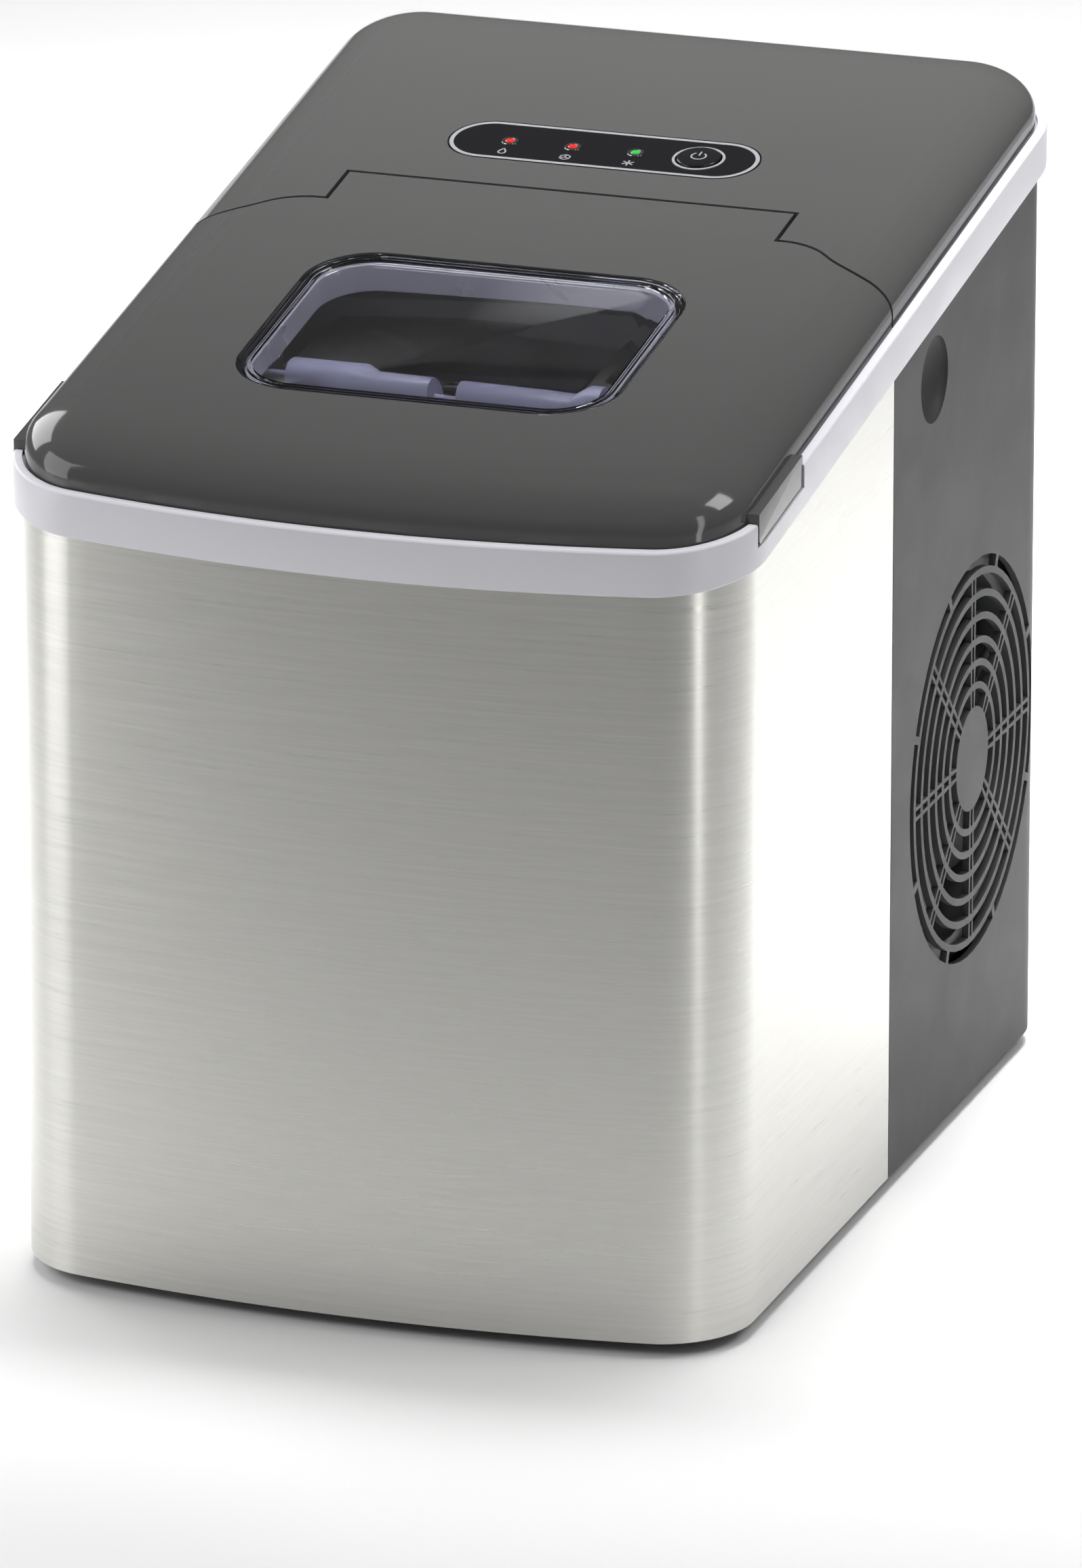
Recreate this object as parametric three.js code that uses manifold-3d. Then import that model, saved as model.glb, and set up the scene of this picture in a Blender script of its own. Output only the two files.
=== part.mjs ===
// A countertop ice maker, in millimetres: +X to its right, +Y to its back, +Z up.
// The origin is on the floor under the middle of the machine.
// Sizes called "from front" count backwards from the foremost point of the steel.
import * as THREE from 'three';
import { mergeVertices } from 'three/addons/utils/BufferGeometryUtils.js';
import Module from 'manifold-3d';

const wasm = await Module();
wasm.setup();

// ---- Driving dimensions -------------------------------------------------------------

const OVERALL_WIDTH = 242;
const OVERALL_DEPTH = 358;
const FRONT_HEIGHT = 245; // floor to the bezel's lower edge, at the front
const TOP_SLOPE = Math.tan(THREE.MathUtils.degToRad(9));
const FOOT_HEIGHT = 4;
const FOOT_RADIUS = 10;
const TOUCH_GAP = 0.3; // left between any two pieces that touch
const RUN_GAP = 0.4; // left round anything that slides or turns

const FRONT_BOW = 12; // how far the front bulges past its corners
const CORNER_RADIUS = 27;
const STEEL_WALL = 0.8;
const STEEL_DEPTH = 173; // from front, to the seam with the rear housing
const SEAM_GAP = 0.6;
const HOUSING_WALL = 2.2;
const STANDOFF_LENGTH = 6; // past the bezel's back

const BEZEL_OVERHANG = 3;
const BEZEL_HEIGHT = 14.2;
const BEZEL_SOCKET = 5; // how deep the steel and the housing reach into it
const BEZEL_SEAT = 1.5; // depth of the step that the lid sits in
const BEZEL_FLANGE = 14; // how far it reaches inwards

const CROWN_HEIGHT = 17; // of the lid and cover, over the bezel
const CROWN_RISE = 14; // height of their rounded edge
const CROWN_RUN = 24; // width of their rounded edge
const CROWN_INSET = 0.8;
const SHELL_WALL = 2.2;

const PARTING_GAP = 1.4; // between the lid and the rear cover
const PARTING_SIDE = 173; // from front, where the parting line meets the bezel
const PARTING_BEND = [108, 78]; // where it starts and ends its bend, from the middle
const SHOULDER = 187.5; // from front
const TONGUE_BACK = 208; // from front
const TONGUE_HALF = 74.5;
const PIVOT_INSET = 12; // hinge axis, in front of the tongue's back edge
const PIVOT_DEPTH = 4; // hinge axis, under the lid's surface
const PIN_RADIUS = 1.5;
const BOSS_RADIUS = 3.4;

const WINDOW_FRONT = 53; // from front
const WINDOW_BACK = 153; // from front
const WINDOW_HALF = 62.5;
const WINDOW_CORNER = 22;
const TAB_FRONT = 31; // from front
const TAB_BACK = 73; // from front
const TAB_DROP = 7;

const PANEL_CENTRE = 240; // from front
const PANEL_HALF_LENGTH = 51.5;
const PANEL_HALF_WIDTH = 13.5;
const PANEL_THICKNESS = 1;
const CONTROL_PITCH = 21; // between the lamps and the button
const LAMP_RADIUS = 2.2;
const BUTTON_RADIUS = 7.2;
const BUTTON_PROUD = 0.9;

const GRILLE_CENTRE = 259; // from front
const GRILLE_HEIGHT = 118; // of its centre
const GRILLE_RADIUS = 66;
const GRILLE_HUB = 17;
const GRILLE_RINGS = 7;
const GRILLE_SECTORS = 8;
const GRILLE_BAR = 2.4;
const RECESS_CENTRE = 215; // from front, of the finger recess
const RECESS_DROP = 22; // its centre, under the bezel
const RECESS_RADIUS = 14;
const RECESS_DEPTH = 8;

const PAN_INSET = 2.6;
const PAN_FLOOR = 3;
const PAN_RIM = 12;
const LINER_SIDE = 17; // steel face to liner
const LINER_FRONT = 16; // from front
const LINER_BACK = 172; // from front
const LINER_WALL = 2;
const LINER_CORNER = 14;
const LINER_FLOOR = 34; // height of its underside
const FOAM_SIDE = 5; // steel face to foam
const FOAM_BACK = 10; // thickness behind the liner
const OUTLET_HEIGHT = 44;
const OUTLET_RADIUS = 5;

const POST_HEIGHT = 52; // of the posts that carry the basket
const BASKET_SIDE = 13; // liner wall to basket
const BASKET_FRONT = 22; // from front
const BASKET_BACK = 88; // from front
const BASKET_WALL = 1.8;
const BASKET_FRONT_DROP = 58; // its front rim, under the bezel

const TRAY_AXIS = 140; // from front
const TRAY_AXIS_DROP = 55; // under the bezel's lower edge
const TRAY_RADIUS = 24;
const TRAY_WALL = 1.6;
const TRAY_HALF = 56;
const FINGER_RADIUS = 4;
const FINGER_PITCH = 18;
const FINGER_ROW = 7; // each row, from the tray's axis
const FRAME_WALL = 2.4;
const FRAME_RISE = 3; // its top plate, over the bezel's lower edge at the tray's axis
const FRAME_SLOT_PITCH = 13.6;
const SHOVEL_AXIS = 90; // from front
const SHOVEL_DEPTH = 17.4; // its axis, under the lid's surface
const SHOVEL_RADIUS = 8; // of its two lobes
const SHOVEL_HALF = 51;
const SHOVEL_GAP = 9; // between the lobes

const COMPRESSOR_X = -16;
const COMPRESSOR_RADIUS = 46;
const COMPRESSOR_HEIGHT = 112;
const FAN_RADIUS = 56;
const DUCT_RADIUS = 60;

// ---- Values worked out from them ----------------------------------------------------

const bodyHalf = OVERALL_WIDTH / 2 - BEZEL_OVERHANG;
const bodyFront = -OVERALL_DEPTH / 2 + BEZEL_OVERHANG;
const bodyBack = OVERALL_DEPTH / 2 - STANDOFF_LENGTH - BEZEL_OVERHANG;
const bowRadius = (bodyHalf ** 2 + FRONT_BOW ** 2) / (2 * FRONT_BOW);
const fromFront = (distance) => bodyFront + distance;
const bezelLow = (y) => FRONT_HEIGHT + (y - bodyFront) * TOP_SLOPE;
const bezelTop = (y) => bezelLow(y) + BEZEL_HEIGHT;
const crownTop = (y) => bezelTop(y) + CROWN_HEIGHT;
const below = (surface, drop) => (y) => surface(y) - drop;

const panUnderside = FOOT_HEIGHT;
const steelLow = panUnderside + 1;
const panFloorTop = panUnderside + PAN_FLOOR;
const panRimTop = panUnderside + PAN_RIM;
const grilleY = fromFront(GRILLE_CENTRE);
const linerHalf = bodyHalf - LINER_SIDE;
const linerInner = linerHalf - LINER_WALL;
const linerFloorTop = LINER_FLOOR + LINER_WALL;
const foamBackY = fromFront(LINER_BACK + FOAM_BACK) + TOUCH_GAP;
const pivotY = fromFront(TONGUE_BACK - PIVOT_INSET);
const pivotZ = crownTop(pivotY) - PIVOT_DEPTH;
const trayY = fromFront(TRAY_AXIS);
const trayZ = bezelLow(trayY) - TRAY_AXIS_DROP;
const trayOuter = TRAY_RADIUS + TRAY_WALL;

// ---- Making shapes and joining them --------------------------------------------------

const iceMaker = new THREE.Group();
let currentColor = '#888888';
let currentFinish = { roughness: 0.5, metalness: 0 };

function finish(color, roughness, metalness = 0) {
  currentColor = color;
  currentFinish = { roughness, metalness };
}

function solid(geometry) {
  const bare = geometry.clone();
  bare.deleteAttribute('normal');
  bare.deleteAttribute('uv');
  const merged = mergeVertices(bare, 1e-4);
  return new wasm.Manifold(new wasm.Mesh({
    numProp: 3,
    vertProperties: new Float32Array(merged.attributes.position.array),
    triVerts: new Uint32Array(merged.index.array),
  }));
}

const fuse = (...pieces) => pieces.reduce((whole, piece) => whole.add(piece));
const cut = (whole, ...cutters) => cutters.reduce((rest, cutter) => rest.subtract(cutter), whole);

function piece(name, shape) {
  const mesh = shape.getMesh();
  const geometry = new THREE.BufferGeometry();
  geometry.setAttribute('position', new THREE.BufferAttribute(mesh.vertProperties, 3));
  geometry.setIndex(new THREE.BufferAttribute(mesh.triVerts, 1));
  geometry.computeVertexNormals();
  const material = new THREE.MeshStandardMaterial({ color: currentColor, ...currentFinish });
  const node = new THREE.Mesh(geometry, material);
  node.name = name;
  iceMaker.add(node);
}

function block([x0, x1], [y0, y1], [z0, z1]) {
  const geometry = new THREE.BoxGeometry(x1 - x0, y1 - y0, z1 - z0);
  geometry.translate((x0 + x1) / 2, (y0 + y1) / 2, (z0 + z1) / 2);
  return solid(geometry);
}

// A round bar from one end to the other along an axis.
function bar(axis, centre, radius, [start, end], segments = 16) {
  const geometry = new THREE.CylinderGeometry(radius, radius, end - start, segments);
  if (axis === 'x') geometry.rotateZ(-Math.PI / 2);
  if (axis === 'z') geometry.rotateX(Math.PI / 2);
  const middle = new THREE.Vector3(...centre);
  middle[axis] = (start + end) / 2;
  geometry.translate(middle.x, middle.y, middle.z);
  return solid(geometry);
}

// A turned piece on an upright axis, from [radius, height] points, axis to axis.
function turned(x, y, profile, segments = 16) {
  const points = profile.map(([radius, height]) => new THREE.Vector2(radius, height));
  const geometry = new THREE.LatheGeometry(points, segments);
  geometry.rotateX(Math.PI / 2);
  geometry.translate(x, y, 0);
  return solid(geometry);
}

// An upright prism whose two ends each lie at a height, flat or sloping.
function between(shape, low, high) {
  const lowAt = typeof low === 'number' ? () => low : low;
  const highAt = typeof high === 'number' ? () => high : high;
  const geometry = new THREE.ExtrudeGeometry(shape, { depth: 1, bevelEnabled: false, steps: 1 });
  const position = geometry.attributes.position;
  for (let i = 0; i < position.count; i += 1) {
    const y = position.getY(i);
    position.setZ(i, lowAt(y) + position.getZ(i) * (highAt(y) - lowAt(y)));
  }
  return solid(geometry);
}

// A tube that follows a smooth path through a few points.
function tube(radius, points, steps = 24) {
  const path = new THREE.CatmullRomCurve3(points.map((point) => new THREE.Vector3(...point)));
  const section = new THREE.Shape();
  section.absarc(0, 0, radius, 0, Math.PI * 2);
  const options = { extrudePath: path, steps, curveSegments: 4, bevelEnabled: false };
  return solid(new THREE.ExtrudeGeometry(section, options));
}

function arcTo(points, x, y, radius, startDegrees, endDegrees, segments) {
  for (let i = 0; i <= segments; i += 1) {
    const turn = THREE.MathUtils.degToRad(THREE.MathUtils.lerp(startDegrees, endDegrees, i / segments));
    const point = new THREE.Vector2(x + radius * Math.cos(turn), y + radius * Math.sin(turn));
    const last = points[points.length - 1];
    if (!last || last.distanceTo(point) > 1e-3) points.push(point);
  }
}

// The body's plan: a bowed front and four round corners, grown by an offset.
function bodyPlan(offset) {
  const corner = CORNER_RADIUS + offset;
  const half = bodyHalf + offset;
  const back = bodyBack + offset;
  const bow = bowRadius + offset;
  const bowCentre = bodyFront + bowRadius;
  const cornerX = half - corner;
  const cornerY = bowCentre - Math.sqrt((bow - corner) ** 2 - cornerX ** 2);
  const meet = THREE.MathUtils.radToDeg(Math.atan2(cornerX, bowCentre - cornerY));
  const points = [];
  arcTo(points, 0, bowCentre, bow, -90 - meet, -90 + meet, 10);
  arcTo(points, cornerX, cornerY, corner, -90 + meet, 0, 5);
  arcTo(points, cornerX, back - corner, corner, 0, 90, 5);
  arcTo(points, -cornerX, back - corner, corner, 90, 180, 5);
  arcTo(points, -cornerX, cornerY, corner, 180, 270 - meet, 5);
  points.pop();
  return new THREE.Shape(points);
}

function roundedPlan(half, front, back, radius, segments = 4) {
  const points = [];
  arcTo(points, half - radius, front + radius, radius, -90, 0, segments);
  arcTo(points, half - radius, back - radius, radius, 0, 90, segments);
  arcTo(points, -half + radius, back - radius, radius, 90, 180, segments);
  arcTo(points, -half + radius, front + radius, radius, 180, 270, segments);
  return new THREE.Shape(points);
}

function circlePlan(x, y, radius, segments = 20) {
  const points = [];
  arcTo(points, x, y, radius, 0, 360, segments);
  points.pop();
  return new THREE.Shape(points);
}

const frontHalf = (y) => block([-bodyHalf - 9, bodyHalf + 9], [bodyFront - 9, y], [-9, 999]);

// ---- Base, feet and outer walls ------------------------------------------------------

const footX = bodyHalf - 30;
const footYs = [fromFront(45), bodyBack - 40];
const drainX = bodyHalf - 38;
const pumpX = -(bodyHalf - 38);
const screwX = bodyHalf - 48;
const screwZ = panRimTop - 4.5;
const glandX = -(bodyHalf - 38);
const glandZ = 34;

function basePan() {
  finish('#2b2c2e', 0.6);
  const outer = between(bodyPlan(-PAN_INSET), panUnderside, panRimTop);
  const inner = between(bodyPlan(-PAN_INSET - 2), panFloorTop, panRimTop + 1);
  let pan = outer.subtract(inner);
  for (const x of [-footX, footX]) {
    for (const y of footYs) pan = pan.subtract(bar('z', [x, y, 0], 3.4, [0, 20]));
  }
  for (const x of [-screwX, screwX]) {
    pan = pan.subtract(bar('y', [x, 0, screwZ], 2.3, [bodyBack - 20, bodyBack], 10));
  }
  piece('base_pan', pan);
}

function feet() {
  finish('#1c1c1d', 0.9);
  const names = ['front_left', 'front_right', 'back_left', 'back_right'];
  for (const [index, name] of names.entries()) {
    const x = index % 2 ? footX : -footX;
    const y = footYs[Math.floor(index / 2)];
    const neckTop = panFloorTop + TOUCH_GAP;
    piece(`foot_${name}`, turned(x, y, [
      [0, 0],
      [FOOT_RADIUS - 1.5, 0],
      [FOOT_RADIUS, 1.5],
      [FOOT_RADIUS - 1, FOOT_HEIGHT - TOUCH_GAP],
      [3, FOOT_HEIGHT - TOUCH_GAP],
      [3, neckTop],
      [5, neckTop],
      [3, neckTop + 3],
      [0, neckTop + 3],
    ]));
  }
}

function steelWrap() {
  finish('#b9b8b2', 0.35, 0.9);
  const high = below(bezelLow, -(BEZEL_SOCKET - RUN_GAP));
  const outer = between(bodyPlan(0), steelLow, high);
  const inner = between(bodyPlan(-STEEL_WALL), steelLow - 1, below(high, -1));
  piece('steel_wrap', outer.subtract(inner).intersect(frontHalf(fromFront(STEEL_DEPTH))));
}

// One slot of the fan grille: a piece of a ring, bounded by two bars.
function grilleSlot(inner, outer, sector) {
  const points = [];
  const bends = outer > GRILLE_RADIUS / 2 ? 2 : 1;
  const step = 360 / GRILLE_SECTORS;
  const start = sector * step;
  const margin = (radius) => THREE.MathUtils.radToDeg(GRILLE_BAR / radius);
  arcTo(points, 0, 0, outer, start + margin(outer), start + step - margin(outer), bends);
  arcTo(points, 0, 0, inner, start + step - margin(inner), start + margin(inner), bends);
  const options = { depth: 12, bevelEnabled: false };
  const geometry = new THREE.ExtrudeGeometry(new THREE.Shape(points), options);
  geometry.rotateX(Math.PI / 2);
  geometry.rotateZ(Math.PI / 2);
  return geometry;
}

function rearHousing() {
  finish('#606060', 0.55);
  const high = below(bezelLow, -(BEZEL_SOCKET - RUN_GAP));
  const outer = between(bodyPlan(0), steelLow, high);
  const inner = between(bodyPlan(-HOUSING_WALL), steelLow - 1, below(high, -1));
  let shell = outer.subtract(inner).subtract(frontHalf(fromFront(STEEL_DEPTH) + SEAM_GAP));
  const recessY = fromFront(RECESS_CENTRE);
  const recessZ = bezelLow(recessY) - RECESS_DROP;
  const pitch = (GRILLE_RADIUS - GRILLE_HUB) / GRILLE_RINGS;
  for (const side of [-1, 1]) {
    const wall = side * bodyHalf;
    const inward = (a, b) => (side > 0 ? [wall - b, wall - a] : [wall + a, wall + b]);
    const centre = [0, recessY, recessZ];
    const cup = bar('x', centre, RECESS_RADIUS + 2, inward(1, RECESS_DEPTH + 2), 24);
    const scoop = bar('x', centre, RECESS_RADIUS, inward(-1, RECESS_DEPTH), 24);
    shell = shell.add(cup).subtract(scoop);
    for (let ring = 0; ring < GRILLE_RINGS; ring += 1) {
      const inside = GRILLE_HUB + ring * pitch;
      for (let sector = 0; sector < GRILLE_SECTORS; sector += 1) {
        const slot = grilleSlot(inside, inside + pitch - GRILLE_BAR, sector);
        slot.translate(wall - 6, grilleY, GRILLE_HEIGHT);
        shell = shell.subtract(solid(slot));
      }
    }
  }
  for (let row = 0; row < 5; row += 1) {
    const z = GRILLE_HEIGHT + 30 + row * 11;
    shell = shell.subtract(block([-64, 64], [bodyBack - 4, bodyBack + 1], [z, z + 4]));
  }
  for (const x of [-screwX, screwX]) {
    shell = shell.subtract(bar('y', [x, 0, screwZ], 2.3, [bodyBack - 5, bodyBack + 1], 10));
    const standoff = block([x - 9, x + 9], [bodyBack - 1, OVERALL_DEPTH / 2], [236, 262]);
    shell = shell.add(standoff);
  }
  shell = shell.subtract(bar('y', [drainX, 0, OUTLET_HEIGHT], 7.4, [bodyBack - 5, bodyBack + 1]));
  shell = shell.subtract(bar('y', [glandX, 0, glandZ], 7.4, [bodyBack - 5, bodyBack + 1]));
  piece('rear_housing', shell);
}

function rearFixings() {
  finish('#c7c8ca', 0.35, 0.9);
  for (const [name, x] of [['left', -screwX], ['right', screwX]]) {
    const centre = [x, 0, screwZ];
    const head = bar('y', centre, 3.8, [bodyBack + TOUCH_GAP, bodyBack + 2.2], 14);
    const shank = bar('y', centre, 1.9, [bodyBack - 9, bodyBack + 1], 10);
    piece(`rear_screw_${name}`, head.add(shank));
  }
  finish('#1f1f20', 0.8);
  const centre = [glandX, 0, glandZ];
  const wallInside = bodyBack - HOUSING_WALL;
  piece('cord_gland', cut(
    fuse(
      bar('y', centre, 6.6, [wallInside - 6, bodyBack + 4]),
      bar('y', centre, 10, [bodyBack + TOUCH_GAP, bodyBack + 3.5]),
      bar('y', centre, 9.4, [wallInside - 4, wallInside - TOUCH_GAP]),
    ),
    bar('y', centre, 3.7, [wallInside - 9, bodyBack + 9]),
  ));
}

// ---- Bezel, rear cover and lid -------------------------------------------------------

const tabOuter = bodyHalf + BEZEL_OVERHANG - 0.5;
const tabInner = bodyHalf - 2.4;

function bezel() {
  finish('#eeeef2', 0.3);
  const outer = between(bodyPlan(BEZEL_OVERHANG), bezelLow, bezelTop);
  const socket = between(bodyPlan(RUN_GAP), below(bezelLow, 1), below(bezelLow, -BEZEL_SOCKET));
  const seat = between(bodyPlan(0), below(bezelTop, BEZEL_SEAT), below(bezelTop, -1));
  const opening = between(bodyPlan(-BEZEL_FLANGE), below(bezelLow, 1), below(bezelTop, -1));
  let ring = cut(outer, socket, seat, opening);
  for (const side of [-1, 1]) {
    const wide = side > 0 ? [tabInner - RUN_GAP, 200] : [-200, -tabInner + RUN_GAP];
    const long = [fromFront(TAB_FRONT) - RUN_GAP, fromFront(TAB_BACK) + RUN_GAP];
    const notch = slopedBlock(wide, long, below(bezelTop, TAB_DROP + RUN_GAP), below(bezelTop, -9));
    ring = ring.subtract(notch);
  }
  piece('bezel', ring);
}

function slopedBlock([x0, x1], [y0, y1], low, high) {
  const shape = new THREE.Shape([
    new THREE.Vector2(x0, y0),
    new THREE.Vector2(x1, y0),
    new THREE.Vector2(x1, y1),
    new THREE.Vector2(x0, y1),
  ]);
  return between(shape, low, high);
}

// The closed dome over the bezel; the inner one is a wall thickness smaller.
function dome(wall) {
  const rise = CROWN_RISE - wall;
  const run = CROWN_RUN - wall;
  const straight = 30;
  const geometry = new THREE.ExtrudeGeometry(bodyPlan(-CROWN_INSET - CROWN_RUN), {
    depth: straight,
    bevelThickness: rise,
    bevelSize: run,
    bevelSegments: 4,
  });
  const position = geometry.attributes.position;
  for (let i = 0; i < position.count; i += 1) {
    const drop = straight + rise - position.getZ(i);
    position.setZ(i, crownTop(position.getY(i)) - wall - drop);
  }
  return solid(geometry);
}

function crownShell() {
  const seatTop = below(bezelTop, BEZEL_SEAT - TOUCH_GAP);
  const above = between(bodyPlan(9), seatTop, below(crownTop, -9));
  return dome(0).subtract(dome(SHELL_WALL)).intersect(above);
}

// The plan of everything in front of the parting line, moved by a shift.
function lidPlan(shift) {
  const rim = bodyHalf + 20;
  const side = fromFront(PARTING_SIDE) + shift;
  const shoulder = fromFront(SHOULDER) + shift;
  const tongue = TONGUE_HALF + shift;
  const half = [
    [rim, bodyFront - 20],
    [rim, side],
  ];
  const bends = 6;
  for (let i = 0; i <= bends; i += 1) {
    const back = (1 - Math.cos((i / bends) * Math.PI)) / 2;
    half.push([
      THREE.MathUtils.lerp(...PARTING_BEND, i / bends),
      THREE.MathUtils.lerp(side, shoulder, back),
    ]);
  }
  half.push([tongue, shoulder], [tongue, fromFront(TONGUE_BACK) + shift]);
  const right = half.map(([x, y]) => new THREE.Vector2(x, y));
  const left = half.map(([x, y]) => new THREE.Vector2(-x, y)).reverse();
  return new THREE.Shape([...right, ...left]);
}

const pivotBar = (radius, ends, segments) => bar('x', [0, pivotY, pivotZ], radius, ends, segments);
const bothSides = (near, far) => [[near, far], [-far, -near]];
const bossIn = TONGUE_HALF - PARTING_GAP / 2 - 12;
const pinEnds = [TONGUE_HALF - 9, TONGUE_HALF + 8];

function lidFrame() {
  finish('#5a5a5a', 0.15);
  const plan = between(lidPlan(-PARTING_GAP / 2), 0, 999);
  let frame = crownShell().intersect(plan);
  for (const ends of bothSides(bossIn, TONGUE_HALF - PARTING_GAP / 2)) {
    frame = frame.add(pivotBar(BOSS_RADIUS, ends, 16));
  }
  for (const ends of bothSides(pinEnds[0] - 0.5, bodyHalf - 20)) {
    frame = frame.subtract(pivotBar(PIN_RADIUS + RUN_GAP, ends, 12));
  }
  for (const side of [-1, 1]) {
    const wide = side > 0 ? [tabInner, tabOuter] : [-tabOuter, -tabInner];
    const long = [fromFront(TAB_FRONT), fromFront(TAB_BACK)];
    frame = frame.add(slopedBlock(wide, long, below(bezelTop, TAB_DROP), below(bezelTop, -3)));
  }
  piece('lid_frame', frame.subtract(between(windowPlan(0), 0, 999)));
}

function windowPlan(offset) {
  const front = fromFront(WINDOW_FRONT) - offset;
  const back = fromFront(WINDOW_BACK) + offset;
  return roundedPlan(WINDOW_HALF + offset, front, back, WINDOW_CORNER + offset, 5);
}

function lidWindow() {
  finish('#c9cbe6', 0.05);
  const seat = SHELL_WALL + TOUCH_GAP;
  const flangeLow = below(crownTop, seat + 1.6);
  const pane = between(windowPlan(-RUN_GAP), below(flangeLow, -0.1), below(crownTop, -0.8));
  const flange = between(windowPlan(5), flangeLow, below(crownTop, seat));
  const skirtOuter = between(windowPlan(-3), below(flangeLow, 9), below(flangeLow, -0.5));
  const skirtInner = between(windowPlan(-5), below(flangeLow, 10), flangeLow);
  piece('lid_window', fuse(pane, flange, skirtOuter).subtract(skirtInner));
}

function hingePins() {
  finish('#c2c4c8', 0.3, 0.9);
  for (const [index, ends] of bothSides(...pinEnds).entries()) {
    piece(`hinge_pin_${index ? 'left' : 'right'}`, pivotBar(PIN_RADIUS, ends, 12));
  }
}

const controlX = [-1.5, -0.5, 0.5, 1.5].map((step) => step * CONTROL_PITCH);
const panelY = fromFront(PANEL_CENTRE);

function panelPlan(offset) {
  const front = panelY - PANEL_HALF_WIDTH - offset;
  const back = panelY + PANEL_HALF_WIDTH + offset;
  return roundedPlan(PANEL_HALF_LENGTH + offset, front, back, PANEL_HALF_WIDTH + offset - 0.5, 6);
}

function controlHoles(shape, lampHole, buttonHole) {
  let holed = shape;
  for (const x of controlX.slice(0, 3)) {
    holed = holed.subtract(between(circlePlan(x, panelY, lampHole, 12), 0, 999));
  }
  return holed.subtract(between(circlePlan(controlX[3], panelY, buttonHole, 20), 0, 999));
}

function rearCover() {
  finish('#5a5a5a', 0.15);
  const plan = between(lidPlan(PARTING_GAP / 2), 0, 999);
  let cover = crownShell().subtract(plan);
  for (const ends of bothSides(TONGUE_HALF + PARTING_GAP / 2, pinEnds[1] + 2)) {
    cover = cover.add(pivotBar(BOSS_RADIUS, ends, 16));
  }
  for (const ends of bothSides(10, pinEnds[1] + 0.5)) {
    cover = cover.subtract(pivotBar(PIN_RADIUS + TOUCH_GAP, ends, 12));
  }
  const pocket = between(panelPlan(TOUCH_GAP), below(crownTop, PANEL_THICKNESS + TOUCH_GAP), 999);
  cover = cover.subtract(pocket);
  piece('rear_cover', controlHoles(cover, LAMP_RADIUS + TOUCH_GAP, BUTTON_RADIUS + RUN_GAP));
}

function controlPanel() {
  finish('#0c0c0d', 0.2);
  const plate = between(panelPlan(0), below(crownTop, PANEL_THICKNESS), crownTop);
  const overlay = controlHoles(plate, LAMP_RADIUS + TOUCH_GAP, BUTTON_RADIUS + RUN_GAP);
  piece('control_overlay', overlay);

  const lamps = [['add_water', '#d8262c'], ['ice_full', '#d8262c'], ['making_ice', '#25c63b']];
  for (const [index, [name, color]] of lamps.entries()) {
    finish(color, 0.2);
    const plan = circlePlan(controlX[index], panelY, LAMP_RADIUS, 12);
    const base = circlePlan(controlX[index], panelY, LAMP_RADIUS + 0.8, 12);
    const dome = between(plan, below(crownTop, 6), below(crownTop, -0.4));
    piece(`lamp_${name}`, dome.add(between(base, below(crownTop, 6), below(crownTop, 4))));
  }

  finish('#0c0c0d', 0.25);
  const cap = circlePlan(controlX[3], panelY, BUTTON_RADIUS, 20);
  const collar = circlePlan(controlX[3], panelY, BUTTON_RADIUS + 1.6, 20);
  const head = between(cap, below(crownTop, 5), below(crownTop, -BUTTON_PROUD));
  const flange = between(collar, below(crownTop, 5), below(crownTop, SHELL_WALL + RUN_GAP));
  piece('on_off_button', head.add(flange));

  finish('#2f6b3a', 0.5);
  const boardPlan = roundedPlan(PANEL_HALF_LENGTH, panelY - 16, panelY + 16, 2, 1);
  const board = between(boardPlan, below(crownTop, 9.6), below(crownTop, 8));
  const contact = [[controlX[3] - 3, controlX[3] + 3], [panelY - 3, panelY + 3]];
  const stem = slopedBlock(...contact, below(crownTop, 8.2), below(crownTop, 6.3));
  piece('control_board', board.add(stem));
}

// ---- Inner tub, foam, basket and chute -----------------------------------------------

const tubPlan = (offset) => roundedPlan(
  linerHalf + offset,
  fromFront(LINER_FRONT) - offset,
  fromFront(LINER_BACK) + offset,
  LINER_CORNER + offset,
);
const hoseX = -(TRAY_HALF - 2);
const hoseZ = trayZ + TRAY_RADIUS + 7;
const lineX = 26;
const throughBack = [fromFront(LINER_BACK) - 9, foamBackY + 9];

function pipeHoles(shape) {
  return cut(
    shape,
    bar('y', [hoseX, 0, hoseZ], 4.4, throughBack, 12),
    bar('y', [lineX, 0, hoseZ], 5, throughBack, 12),
    bar('y', [lineX - 14, 0, hoseZ], 3, throughBack, 12),
  );
}

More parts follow.
